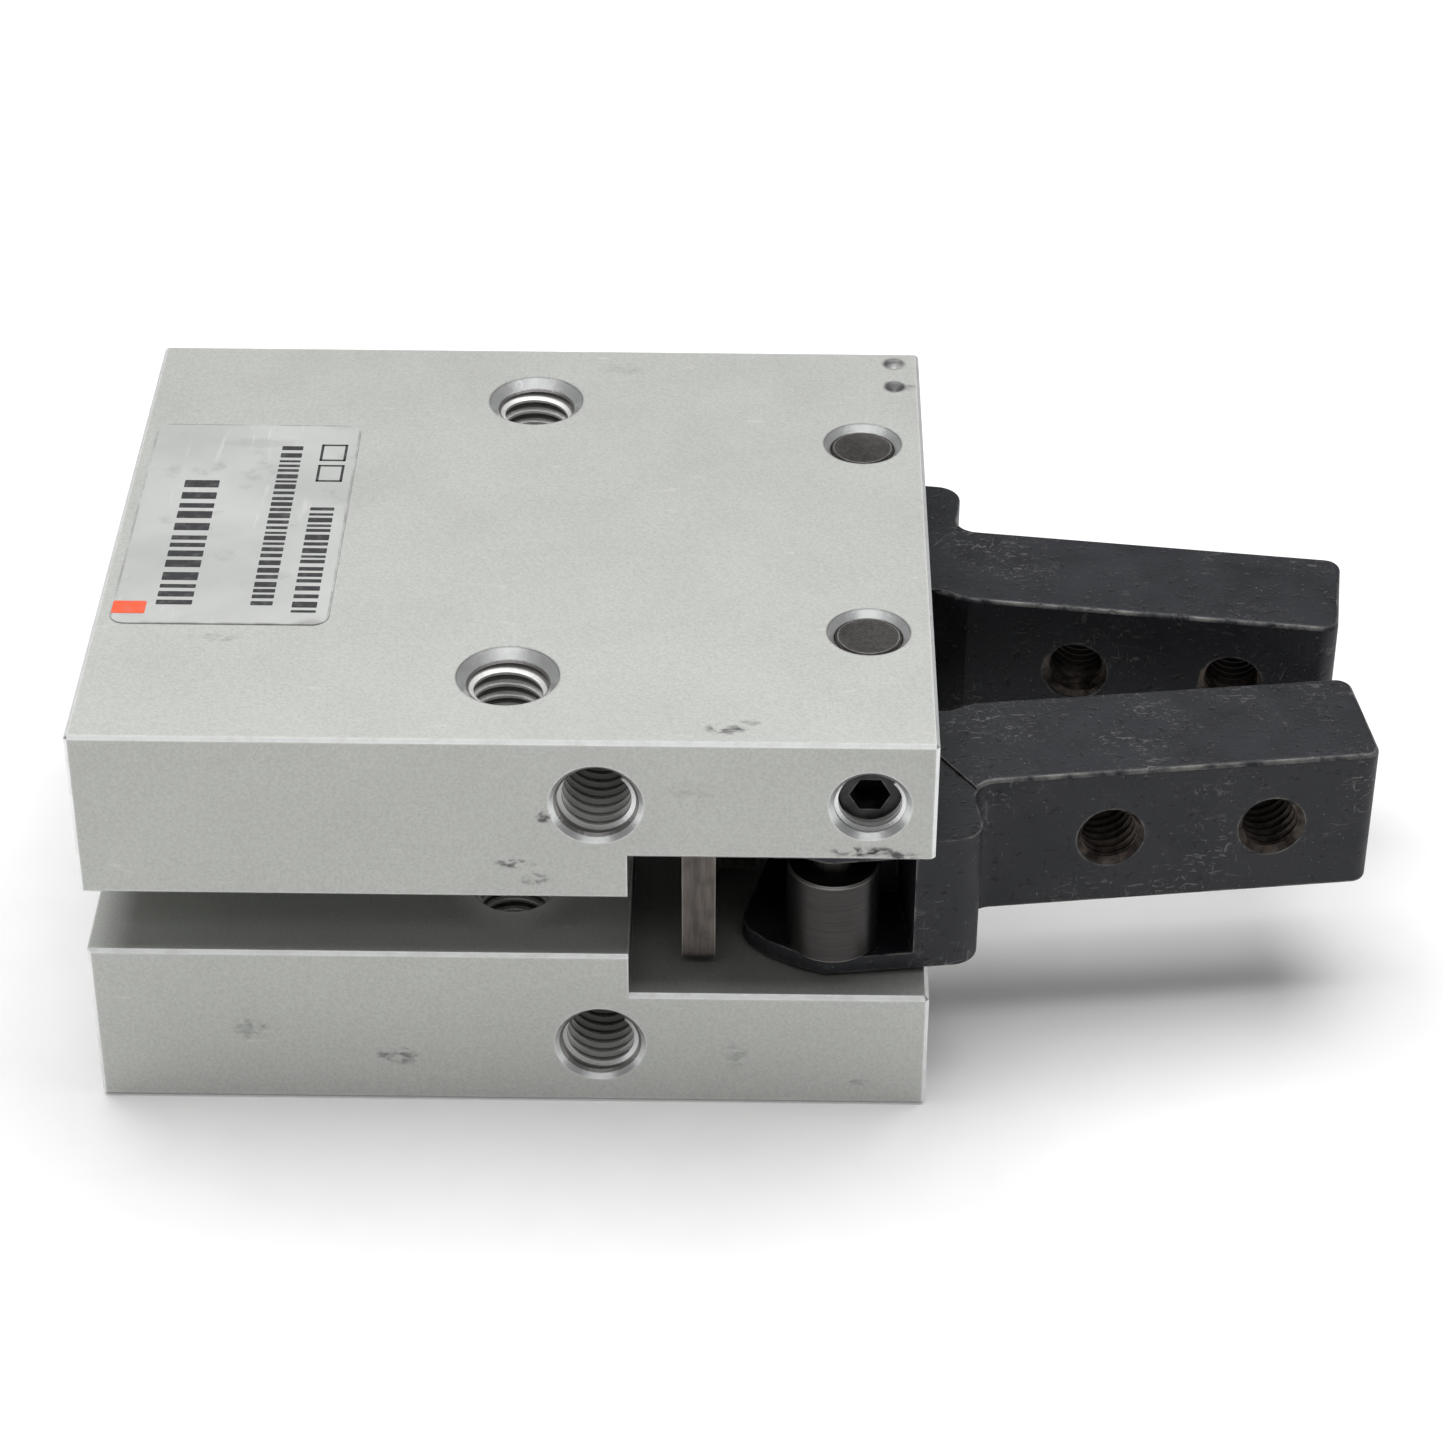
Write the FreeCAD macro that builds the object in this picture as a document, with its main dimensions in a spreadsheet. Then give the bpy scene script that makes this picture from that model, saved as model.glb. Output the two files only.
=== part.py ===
import FreeCAD, Part
import math
import os

import Sketcher

# Two-finger angular gripper with a double piston, in millimetres.
# +X points from the rear cap to the finger tips, +Z up. The origin is the centre of the
# bottom face, midway between the two vertical mounting holes. The right finger is at -Y.

doc = FreeCAD.newDocument("gripper")
sheet = doc.addObject("Spreadsheet::Sheet", "Sizes")
ROW_COUNT = 0
TOLERANCE = 1e-4
X_AXIS = FreeCAD.Vector(1, 0, 0)
Y_AXIS = FreeCAD.Vector(0, 1, 0)
Z_AXIS = FreeCAD.Vector(0, 0, 1)


class Size:
    """A length with its number and the sheet expression that gives it."""

    def __init__(self, value, text):
        self.value = value
        self.text = text

    def joined(self, other, sign, result):
        other_text = other.text if isinstance(other, Size) else str(other)
        return Size(result, f"({self.text} {sign} {other_text})")

    def __add__(self, other):
        return self.joined(other, "+", self.value + number(other))

    def __sub__(self, other):
        return self.joined(other, "-", self.value - number(other))

    def __mul__(self, other):
        return self.joined(other, "*", self.value * number(other))

    def __truediv__(self, other):
        return self.joined(other, "/", self.value / number(other))

    def __neg__(self):
        return self * -1


def number(size):
    return size.value if isinstance(size, Size) else size


def cell(alias, value):
    """Put one driving dimension in the sheet."""
    global ROW_COUNT
    ROW_COUNT += 1
    sheet.set(f"A{ROW_COUNT}", alias)
    sheet.set(f"B{ROW_COUNT}", str(value))
    sheet.setAlias(f"B{ROW_COUNT}", alias)
    return Size(value, f"Sizes.{alias}")


# ---- housing ----
body_length = cell("body_length", 60)
body_width = cell("body_width", 54)
body_height = cell("body_height", 32)
edge_break = cell("edge_break", 0.25)
lip_break = cell("lip_break", 0.3)
groove_break = cell("groove_break", 0.25)
groove_height = cell("groove_height", 5.1)
groove_depth = cell("groove_depth", 11.4)
cavity_length = cell("cavity_length", 21.5)
cavity_height = cell("cavity_height", 12.2)
cylinder_radius = cell("cylinder_radius", 12.5)
seat_radius = cell("seat_radius", 13.5)
seat_depth = cell("seat_depth", 6.7)
ring_groove_radius = cell("ring_groove_radius", 14.3)
ring_groove_start = cell("ring_groove_start", 1.2)
ring_groove_width = cell("ring_groove_width", 1.2)
front_wall = cell("front_wall", 5)
rod_gland_offset = cell("rod_gland_offset", 1.3)
rod_gland_width = cell("rod_gland_width", 2.2)
rod_gland_radius = cell("rod_gland_radius", 8.05)

# ---- threaded and pinned holes ----
mount_thread_radius = cell("mount_thread_radius", 3)
mount_spread = cell("mount_spread", 38)
mount_countersink = cell("mount_countersink", 0.65)
side_mount_place = cell("side_mount_place", 6.4)
side_mount_spread = cell("side_mount_spread", 21.4)
side_mount_depth = cell("side_mount_depth", 9.5)
side_mount_countersink = cell("side_mount_countersink", 0.3)
pivot_place = cell("pivot_place", 25.35)
pivot_spread = cell("pivot_spread", 26)
pivot_pin_radius = cell("pivot_pin_radius", 2.5)
pivot_floor = cell("pivot_floor", 3)
pivot_countersink = cell("pivot_countersink", 0.5)
pivot_recess = cell("pivot_recess", 0.35)
screw_radius = cell("screw_radius", 2.5)
screw_height = cell("screw_height", 26.8)
screw_countersink = cell("screw_countersink", 0.4)
screw_recess = cell("screw_recess", 1.5)
screw_socket = cell("screw_socket", 2.5)
screw_socket_depth = cell("screw_socket_depth", 2.6)
screw_bevel = cell("screw_bevel", 0.4)
screw_point = cell("screw_point", 1)
port_radius = cell("port_radius", 2.5)
port_height = cell("port_height", 26)
port_depth = cell("port_depth", 5)
port_countersink = cell("port_countersink", 0.3)
open_port_place = cell("open_port_place", -20.8)
close_port_place = cell("close_port_place", -9.5)
open_passage_place = cell("open_passage_place", -22.2)
passage_radius = cell("passage_radius", 0.8)
dimple_radius = cell("dimple_radius", 0.75)
dimple_depth = cell("dimple_depth", 0.6)
dimple_place = cell("dimple_place", 28)
dimple_inset = cell("dimple_inset", 1.7)
dimple_pitch = cell("dimple_pitch", 3.6)

# ---- fingers ----
closed_angle = cell("closed_angle", 7.5)
arm_half_width = cell("arm_half_width", 5)
arm_reach = cell("arm_reach", 37.25)
arm_height = cell("arm_height", 11.7)
hub_step = cell("hub_step", 0.25)
hub_out = cell("hub_out", 11.5)
hub_front = cell("hub_front", 7)
hub_inner = cell("hub_inner", 4)
tip_corner = cell("tip_corner", 1.2)
finger_round = cell("finger_round", 0.4)
elbow_round = cell("elbow_round", 1.8)
shoulder_round = cell("shoulder_round", 2)
jaw_thread_radius = cell("jaw_thread_radius", 2.5)
jaw_first_hole = cell("jaw_first_hole", 17.5)
jaw_hole_pitch = cell("jaw_hole_pitch", 12)
pivot_clearance = cell("pivot_clearance", 0.05)
fork_top = cell("fork_top", 4.3)
fork_height = cell("fork_height", 8.5)
fork_front = cell("fork_front", 2)
fork_inner = cell("fork_inner", -4.2)
step_front = cell("step_front", 5.2)
step_turn = cell("step_turn", -1.5)
roller_radius = cell("roller_radius", 3.3)
roller_height = cell("roller_height", 6.8)
roller_lift = cell("roller_lift", 0.1)
roller_x = cell("roller_x", -3.55)
roller_y = cell("roller_y", -9)
roller_pin_radius = cell("roller_pin_radius", 1.5)
roller_clearance = cell("roller_clearance", 0.05)
roller_bevel = cell("roller_bevel", 0.15)
pin_bevel = cell("pin_bevel", 0.3)
tongue_angle = cell("tongue_angle", 99.4)
tongue_half_width = cell("tongue_half_width", 3.3)
tongue_reach = cell("tongue_reach", 13.6)
tongue_bottom = cell("tongue_bottom", 2.2)
tongue_height = cell("tongue_height", 3.4)
slot_near = cell("slot_near", 12.95)
slot_far = cell("slot_far", 13.65)
slot_half_width = cell("slot_half_width", 2.1)

# ---- pistons, rods and crosshead, in the closed position, from the rear face ----
rear_piston_start = cell("rear_piston_start", 8)
rear_piston_length = cell("rear_piston_length", 4.5)
front_piston_start = cell("front_piston_start", 27)
front_piston_length = cell("front_piston_length", 5.5)
piston_radius = cell("piston_radius", 12.42)
seal_groove_radius = cell("seal_groove_radius", 10.4)
seal_groove_width = cell("seal_groove_width", 2.2)
seal_section = cell("seal_section", 1)
seal_gap = cell("seal_gap", 0.05)
nut_pocket_radius = cell("nut_pocket_radius", 4.4)
nut_pocket_depth = cell("nut_pocket_depth", 2.2)
nut_across = cell("nut_across", 7)
nut_thickness = cell("nut_thickness", 2.1)
spigot_radius = cell("spigot_radius", 2)
rod_radius = cell("rod_radius", 3)
rod_clearance = cell("rod_clearance", 0.06)
tang_thickness = cell("tang_thickness", 4)
tang_length = cell("tang_length", 7.4)
centre_pin_place = cell("centre_pin_place", 51.4)
centre_pin_radius = cell("centre_pin_radius", 2)
centre_pin_length = cell("centre_pin_length", 10.8)
tube_radius = cell("tube_radius", 6)
tube_spigot_radius = cell("tube_spigot_radius", 4.5)
tube_gland_radius = cell("tube_gland_radius", 4.7)
tube_gland_width = cell("tube_gland_width", 1.8)
inner_seal_section = cell("inner_seal_section", 0.8)
inner_gland_offset = cell("inner_gland_offset", 2.5)
front_seal_margin = cell("front_seal_margin", 0.7)
spigot_setback = cell("spigot_setback", 0.2)
rod_end_setback = cell("rod_end_setback", 0.3)
rod_tip_bevel = cell("rod_tip_bevel", 1)
press_gap = cell("press_gap", 0.02)
magnet_inner = cell("magnet_inner", 8)
magnet_outer = cell("magnet_outer", 11)
magnet_thickness = cell("magnet_thickness", 2)
crosshead_start = cell("crosshead_start", 42.25)
crosshead_plate = cell("crosshead_plate", 2.4)
crosshead_block = cell("crosshead_block", 5.25)
crosshead_width = cell("crosshead_width", 48)
crosshead_block_width = cell("crosshead_block_width", 26)
crosshead_height = cell("crosshead_height", 10.4)
crosshead_break = cell("crosshead_break", 0.6)

# ---- rear cap, rings, bumpers and label ----
cap_radius = cell("cap_radius", 13.45)
cap_seal_groove_radius = cell("cap_seal_groove_radius", 11.4)
cap_dish_radius = cell("cap_dish_radius", 9)
cap_dish_depth = cell("cap_dish_depth", 0.8)
cap_puller_radius = cell("cap_puller_radius", 1.5)
cap_puller_depth = cell("cap_puller_depth", 3)
cap_bevel = cell("cap_bevel", 0.3)
ring_outer = cell("ring_outer", 14.2)
ring_inner = cell("ring_inner", 12.2)
ring_thickness = cell("ring_thickness", 1.1)
ring_lug_radius = cell("ring_lug_radius", 1.6)
ring_lug_place = cell("ring_lug_place", 11.6)
ring_lug_side = cell("ring_lug_side", 2.6)
ring_lug_hole = cell("ring_lug_hole", 0.7)
ring_gap = cell("ring_gap", 2)
bumper_inner = cell("bumper_inner", 5.5)
bumper_outer = cell("bumper_outer", 9)
rear_bumper_thickness = cell("rear_bumper_thickness", 1.2)
front_bumper_inner = cell("front_bumper_inner", 7)
front_bumper_outer = cell("front_bumper_outer", 11)
front_bumper_thickness = cell("front_bumper_thickness", 0.9)
label_length = cell("label_length", 15.7)
label_width = cell("label_width", 27.7)
label_inset = cell("label_inset", 1.1)
label_shift = cell("label_shift", 0.9)
label_thickness = cell("label_thickness", 0.1)
label_corner = cell("label_corner", 1.2)

rear = -body_length / 2
front = body_length / 2
side = body_width / 2
axis_height = body_height / 2
cavity_start = front - cavity_length
cavity_floor = axis_height - cavity_height / 2
cavity_roof = axis_height + cavity_height / 2
wall_start = cavity_start - front_wall
arm_half_height = arm_height / 2
pieces = []

# Corners of the finger's outer heel and of the web between its fork ears, pivot at 0, arm along +x.
HEEL = [(-4.3, -hub_out), (-6.2, -10.5), (-8.2, -8.9), (-9.4, -7.4), (-9.7, -6.2)]
WEB_BACK = [(-2.2, fork_inner), (-4.0, -2.6), (-4.6, 0), (-4.2, hub_inner + 1)]


def bind(item, name, size):
    """Drive one property from the sheet."""
    if isinstance(size, Size):
        item.setExpression(name, size.text)
    else:
        item.setExpression(name, str(size))


# ---------------------------------------------------------------- sketches
def new_body(label):
    body = doc.addObject("PartDesign::Body", label)
    body.Label = label
    pieces.append(body)
    return body


def sketch_on(body, name, role, across=(0, 0), height=0, turn=None):
    """A sketch on one of the body's own planes, shifted in the plane and off it."""
    support = [plane for plane in body.Origin.OriginFeatures if plane.Role == role][0]
    sketch = body.newObject("Sketcher::SketchObject", f"{body.Name}_{name}")
    sketch.AttachmentSupport = [(support, "")]
    sketch.MapMode = "FlatFace"
    for letter, shift in zip("xyz", (*across, height)):
        bind(sketch, f"AttachmentOffset.Base.{letter}", shift)
    if turn is not None:
        bind(sketch, "AttachmentOffset.Rotation.Angle", turn)
    return sketch


def pin_down(sketch, geometry, position, x, y):
    """Drive one point of the sketch by its two coordinates."""
    for kind, size in (("DistanceX", x), ("DistanceY", y)):
        index = sketch.addConstraint(Sketcher.Constraint(kind, -1, 1, geometry, position, number(size)))
        name = f"{kind}_{geometry}_{position}"
        sketch.renameConstraint(index, name)
        bind(sketch, f"Constraints.{name}", size)


def set_radius(sketch, geometry, radius):
    index = sketch.addConstraint(Sketcher.Constraint("Radius", geometry, number(radius)))
    sketch.renameConstraint(index, f"radius_{geometry}")
    bind(sketch, f"Constraints.radius_{geometry}", radius)


def outline(sketch, points):
    """A closed outline of straight lines through the points."""
    spots = [FreeCAD.Vector(number(x), number(y), 0) for x, y in points]
    first = sketch.GeometryCount
    for place, spot in enumerate(spots):
        sketch.addGeometry(Part.LineSegment(spot, spots[(place + 1) % len(spots)]))
    for place, (x, y) in enumerate(points):
        following = first + (place + 1) % len(points)
        sketch.addConstraint(Sketcher.Constraint("Coincident", first + place, 2, following, 1))
        pin_down(sketch, first + place, 1, x, y)


def rectangle(sketch, x_low, x_high, y_low, y_high):
    outline(sketch, [(x_low, y_low), (x_high, y_low), (x_high, y_high), (x_low, y_high)])


def circle(sketch, x, y, radius):
    centre = FreeCAD.Vector(number(x), number(y), 0)
    geometry = sketch.addGeometry(Part.Circle(centre, Z_AXIS, number(radius)))
    pin_down(sketch, geometry, 3, x, y)
    set_radius(sketch, geometry, radius)


def round_slot(sketch, x_low, x_high, radius):
    """A slot with round ends, lying along the sketch's own horizontal axis."""
    low = FreeCAD.Vector(number(x_low), 0, 0)
    high = FreeCAD.Vector(number(x_high), 0, 0)
    up = FreeCAD.Vector(0, number(radius), 0)
    quarter = math.pi / 2
    low_arc = Part.ArcOfCircle(Part.Circle(low, Z_AXIS, number(radius)), quarter, 3 * quarter)
    high_arc = Part.ArcOfCircle(Part.Circle(high, Z_AXIS, number(radius)), -quarter, quarter)
    sketch.addGeometry([low_arc, high_arc])
    sketch.addGeometry([Part.LineSegment(low - up, high - up), Part.LineSegment(high + up, low + up)])
    pin_down(sketch, 0, 3, x_low, 0)
    pin_down(sketch, 1, 3, x_high, 0)
    for line, start_arc, start_end, end_arc, end_end in ((2, 0, 2, 1, 1), (3, 1, 2, 0, 1)):
        sketch.addConstraint(Sketcher.Constraint("Tangent", line, 1, start_arc, start_end))
        sketch.addConstraint(Sketcher.Constraint("Tangent", line, 2, end_arc, end_end))
    set_radius(sketch, 0, radius)


# ---------------------------------------------------------------- features
def pad(body, sketch, length):
    feature = body.newObject("PartDesign::Pad", f"{sketch.Name}_pad")
    feature.Profile = sketch
    bind(feature, "Length", length)
    doc.recompute()
    return feature


def pocket(body, sketch, length=None, reverse=False):
    """Cut the sketch from the body; with no length it goes right through both ways."""
    before = body.Shape.Volume
    feature = body.newObject("PartDesign::Pocket", f"{sketch.Name}_pocket")
    feature.Profile = sketch
    feature.Reversed = reverse
    if length is None:
        feature.Type = "ThroughAll"
        feature.Midplane = True
    else:
        bind(feature, "Length", length)
    doc.recompute()
    if body.Shape.Volume > before - TOLERANCE:
        raise RuntimeError(f"{feature.Name} cuts nothing")
    return feature


def revolve(body, sketch, axis, kind="Revolution"):
    """Turn the sketch's outline once round its own horizontal or vertical axis."""
    before = body.Shape.Volume if kind == "Groove" else 0
    feature = body.newObject(f"PartDesign::{kind}", f"{sketch.Name}_turned")
    feature.Profile = sketch
    feature.ReferenceAxis = (sketch, [axis])
    feature.Angle = 360
    doc.recompute()
    if kind == "Groove" and body.Shape.Volume > before - TOLERANCE:
        raise RuntimeError(f"{feature.Name} cuts nothing")
    return feature


def dress(body, kind, name, edges, size):
    """Chamfer or round the named edges of the body's last feature."""
    if not edges:
        raise RuntimeError(f"{body.Name} {name}: no edges found")
    base = body.Tip
    feature = body.newObject(f"PartDesign::{kind}", f"{body.Name}_{name}")
    feature.Base = (base, edges)
    bind(feature, "Size" if kind == "Chamfer" else "Radius", size)
    doc.recompute()
    return require_valid(feature)


def edges_where(body, test):
    return [f"Edge{place}" for place, edge in enumerate(body.Shape.Edges, start=1) if test(edge)]


def near(value, target):
    return abs(value - number(target)) < TOLERANCE


def require_valid(feature):
    if "Invalid" in feature.State or feature.Shape.isNull():
        raise RuntimeError(f"{feature.Name} failed")
    return feature


def rims(body, radius, direction, level):
    """The circular edges of one radius whose plane is at one level along a direction."""
    def test(edge):
        curve = edge.Curve
        if curve.TypeId != "Part::GeomCircle" or not near(curve.Radius, radius):
            return False
        return near(abs(curve.Axis.dot(direction)), 1) and near(curve.Center.dot(direction), level)
    return edges_where(body, test)


def flat_at(edge, direction, level):
    """Whether the whole edge lies at one level along a direction."""
    box = edge.BoundBox
    low = FreeCAD.Vector(box.XMin, box.YMin, box.ZMin).dot(direction)
    high = FreeCAD.Vector(box.XMax, box.YMax, box.ZMax).dot(direction)
    return abs(low - number(level)) < 0.01 and abs(high - number(level)) < 0.01


def turned(label, profile, upright=False, place=(0, 0, 0)):
    """A turned piece: its half profile as (along the axis, radius) points, and its place."""
    body = new_body(label)
    sketch = sketch_on(body, "profile", "XZ_Plane")
    if upright:
        outline(sketch, [(radius, along) for along, radius in profile])
    else:
        outline(sketch, profile)
    revolve(body, sketch, "V_Axis" if upright else "H_Axis")
    put(body, place)
    return body


def put(piece, place):
    for letter, size in zip("xyz", place):
        bind(piece, f"Placement.Base.{letter}", size)


def o_ring(label, along, ring_radius, section):
    """A round-section seal about the cylinder's axis."""
    ring = doc.addObject("Part::Torus", label)
    ring.Label = label
    bind(ring, "Radius1", ring_radius)
    bind(ring, "Radius2", section)
    ring.Placement.Rotation = FreeCAD.Rotation(Y_AXIS, 90)
    put(ring, (along, 0, axis_height))
    doc.recompute()
    pieces.append(ring)


# ---------------------------------------------------------------- housing body
def make_housing_body():
    body = new_body("body")
    block = sketch_on(body, "block", "XY_Plane")
    rectangle(block, rear, front, -side, side)
    pad(body, block, body_height)
    dress(body, "Chamfer", "edge_chamfers", edges_where(body, lambda edge: True), edge_break)

    cavity = sketch_on(body, "finger_cavity", "XZ_Plane")
    rectangle(cavity, cavity_start, front + 1, cavity_floor, cavity_roof)
    pocket(body, cavity)

    groove_low = axis_height - groove_height / 2
    groove_high = axis_height + groove_height / 2
    for name, height, reverse in (("right_groove", side, True), ("left_groove", -side, False)):
        groove = sketch_on(body, name, "XZ_Plane", height=height)
        rectangle(groove, rear - 1, cavity_start + 1, groove_low, groove_high)
        pocket(body, groove, groove_depth, not reverse)

    def is_lip(edge):
        box = edge.BoundBox
        outer = number(side - edge_break) - 0.01
        at_side = box.YMin > outer or box.YMax < -outer
        at_front = box.XMin > number(front - edge_break) - 0.01
        levels = (cavity_floor, cavity_roof)
        return (at_side or at_front) and any(flat_at(edge, Z_AXIS, level) for level in levels)

    def is_groove_lip(edge):
        on_side = flat_at(edge, Y_AXIS, side) or flat_at(edge, Y_AXIS, -side)
        return on_side and any(flat_at(edge, Z_AXIS, level) for level in (groove_low, groove_high))

    dress(body, "Chamfer", "cavity_lips", edges_where(body, is_lip), lip_break)
    dress(body, "Chamfer", "groove_lips", edges_where(body, is_groove_lip), groove_break)
    cut_cylinder(body)
    cut_holes(body)
    return body


def cut_cylinder(body):
    """The stepped bore from the rear face, its ring groove, and the rod gland in the front wall."""
    sketch = sketch_on(body, "cylinder", "XZ_Plane", across=(0, axis_height))
    ring_end = ring_groove_start + ring_groove_width
    gland_start = wall_start + rod_gland_offset
    gland_end = gland_start + rod_gland_width
    rod_hole = tube_radius + seal_gap
    outline(sketch, [
        (rear - 1, 0),
        (rear - 1, seat_radius),
        (rear + ring_groove_start, seat_radius),
        (rear + ring_groove_start, ring_groove_radius),
        (rear + ring_end, ring_groove_radius),
        (rear + ring_end, seat_radius),
        (rear + seat_depth, seat_radius),
        (rear + seat_depth, cylinder_radius),
        (wall_start, cylinder_radius),
        (wall_start, rod_hole),
        (gland_start, rod_hole),
        (gland_start, rod_gland_radius),
        (gland_end, rod_gland_radius),
        (gland_end, rod_hole),
        (cavity_start + 1, rod_hole),
        (cavity_start + 1, 0),
    ])
    revolve(body, sketch, "H_Axis", "Groove")


def cut_holes(body):
    mounts = sketch_on(body, "mount_holes", "XY_Plane")
    circle(mounts, 0, mount_spread / 2, mount_thread_radius)
    circle(mounts, 0, -mount_spread / 2, mount_thread_radius)
    pocket(body, mounts)
    mount_rims = rims(body, mount_thread_radius.value, Z_AXIS, body_height)
    mount_rims += rims(body, mount_thread_radius.value, Z_AXIS, 0)
    dress(body, "Chamfer", "mount_countersinks", mount_rims, mount_countersink)

    pivots = sketch_on(body, "pivot_holes", "XY_Plane", height=body_height)
    circle(pivots, pivot_place, pivot_spread / 2, pivot_pin_radius)
    circle(pivots, pivot_place, -pivot_spread / 2, pivot_pin_radius)
    pocket(body, pivots, body_height - pivot_floor)
    pivot_rims = rims(body, pivot_pin_radius.value, Z_AXIS, body_height)
    dress(body, "Chamfer", "pivot_countersinks", pivot_rims, pivot_countersink)

    side_rims = []
    screw_length = side - pivot_spread / 2
    for name, height, into in (("right", side, False), ("left", -side, True)):
        mount_sketch = sketch_on(body, f"{name}_side_mounts", "XZ_Plane", height=height)
        circle(mount_sketch, side_mount_place, axis_height + side_mount_spread / 2, mount_thread_radius)
        circle(mount_sketch, side_mount_place, axis_height - side_mount_spread / 2, mount_thread_radius)
        pocket(body, mount_sketch, side_mount_depth, into)
        screw_sketch = sketch_on(body, f"{name}_screw_hole", "XZ_Plane", height=height)
        circle(screw_sketch, pivot_place, screw_height, screw_radius)
        pocket(body, screw_sketch, screw_length, into)
    for level in (-side, side):
        side_rims += rims(body, mount_thread_radius.value, Y_AXIS, level)
    dress(body, "Chamfer", "side_countersinks", side_rims, side_mount_countersink)
    screw_rims = []
    for level in (-side, side):
        screw_rims += rims(body, screw_radius.value, Y_AXIS, level)
    dress(body, "Chamfer", "screw_countersinks", screw_rims, screw_countersink)

    ports = sketch_on(body, "air_ports", "XZ_Plane", height=-side)
    circle(ports, open_port_place, port_height, port_radius)
    circle(ports, close_port_place, port_height, port_radius)
    pocket(body, ports, port_depth, True)
    passages = sketch_on(body, "air_passages", "XZ_Plane", height=-side)
    circle(passages, open_passage_place, port_height, passage_radius)
    circle(passages, close_port_place, port_height, passage_radius)
    pocket(body, passages, side - cylinder_radius / 2, True)

    def is_port_rim(edge):
        curve = edge.Curve
        round_one = curve.TypeId == "Part::GeomCircle" and near(curve.Radius, port_radius)
        return round_one and near(curve.Center.y, side) and curve.Center.x < 0

    dress(body, "Chamfer", "port_countersinks", edges_where(body, is_port_rim), port_countersink)

    first_dimple = side - dimple_inset
    for place, across in enumerate((first_dimple, first_dimple - dimple_pitch)):
        dimple = sketch_on(body, f"dimple_{place}", "XZ_Plane", across=(dimple_place, 0), height=-across)
        outline(dimple, [
            (0, body_height - dimple_depth),
            (dimple_radius, body_height + 0.01),
            (0, body_height + 0.01),
        ])
        revolve(body, dimple, "V_Axis", "Groove")


# ---------------------------------------------------------------- fingers
def finger_outline(sketch):
    """The arm and hub from above, in the finger's own frame: pivot at 0, arm along +x."""
    outline(sketch, [
        (arm_reach, -arm_half_width),
        (hub_front, -arm_half_width),
        (hub_front, -hub_out),
        *HEEL,
        (-6.3, 2.3),
        (-4.6, hub_inner),
        (6.2, hub_inner),
        (9, arm_half_width),
        (arm_reach, arm_half_width),
    ])


def make_finger(label, flipped):
    body = new_body(label)
    blank = sketch_on(body, "outline", "XY_Plane", height=-arm_half_height)
    finger_outline(blank)
    pad(body, blank, arm_height)

    def upright_at(spots):
        def test(edge):
            start, end = edge.Vertexes[0].Point, edge.Vertexes[-1].Point
            upright = near(start.x, end.x) and near(start.y, end.y) and abs(start.z - end.z) > 1
            return upright and any(near(start.x, x) and near(start.y, y) for x, y in spots)
        return test

    elbow = upright_at([(hub_front, -arm_half_width)])
    dress(body, "Fillet", "elbow", edges_where(body, elbow), elbow_round)
    shoulder = upright_at([(hub_front, -hub_out)])
    dress(body, "Fillet", "shoulder", edges_where(body, shoulder), shoulder_round)
    tip = upright_at([(arm_reach, arm_half_width), (arm_reach, -arm_half_width)])
    dress(body, "Fillet", "tip_corners", edges_where(body, tip), tip_corner)
    dress(body, "Fillet", "heel", edges_where(body, upright_at(HEEL)), shoulder_round / 2)

    def on_arm_rim(edge):
        box = edge.BoundBox
        level = flat_at(edge, Z_AXIS, arm_half_height) or flat_at(edge, Z_AXIS, -arm_half_height)
        return level and box.XMax > number(hub_front) + 1

    dress(body, "Fillet", "arm_edges", edges_where(body, on_arm_rim), finger_round)

    hub_reach = hub_front + 3
    clear = hub_out + 4
    for name, height, reverse in (
        ("upper_step", arm_half_height, False),
        ("lower_step", -arm_half_height, True),
    ):
        step = sketch_on(body, name, "XY_Plane", height=height)
        outline(step, [
            (step_front, clear),
            (step_front, step_turn),
            (hub_reach, -hub_out),
            (hub_reach, -clear),
            (-clear, -clear),
            (-clear, clear),
        ])
        pocket(body, step, hub_step, reverse)

    fork = sketch_on(body, "fork", "XY_Plane", height=fork_top)
    outline(fork, [
        (fork_front, -clear),
        (fork_front, fork_inner),
        *WEB_BACK,
        (-clear, hub_inner + 1),
        (-clear, -clear),
    ])
    pocket(body, fork, fork_height)

    tongue = sketch_on(body, "tongue", "XY_Plane", height=tongue_bottom, turn=tongue_angle)
    round_slot(tongue, 0, tongue_reach, tongue_half_width)
    pad(body, tongue, tongue_height)
    tongue_top = tongue_bottom + tongue_height
    pin_slot = sketch_on(body, "pin_slot", "XY_Plane", height=tongue_top, turn=tongue_angle)
    round_slot(pin_slot, slot_near, slot_far, slot_half_width)
    pocket(body, pin_slot, tongue_height)

    pivot_hole = sketch_on(body, "pivot_hole", "XY_Plane")
    circle(pivot_hole, 0, 0, pivot_pin_radius + pivot_clearance)
    pocket(body, pivot_hole)

    roller_hole = sketch_on(body, "roller_pin_hole", "XY_Plane")
    circle(roller_hole, roller_x, roller_y, roller_pin_radius)
    pocket(body, roller_hole)

    jaw_holes = sketch_on(body, "jaw_holes", "XZ_Plane")
    circle(jaw_holes, jaw_first_hole, 0, jaw_thread_radius)
    circle(jaw_holes, jaw_first_hole + jaw_hole_pitch, 0, jaw_thread_radius)
    pocket(body, jaw_holes)
    seat_on_pivot(body, flipped)
    return body


def seat_on_pivot(piece, flipped):
    """Carry a piece from the finger's own frame to its pivot, at the closed angle."""
    turn = FreeCAD.Rotation(Z_AXIS, -closed_angle.value if flipped else closed_angle.value)
    flip = FreeCAD.Rotation(X_AXIS, 180 if flipped else 0)
    piece.Placement = FreeCAD.Placement(FreeCAD.Vector(), turn * flip)
    put(piece, (pivot_place, pivot_spread / 2 if flipped else -pivot_spread / 2, axis_height))


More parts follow.
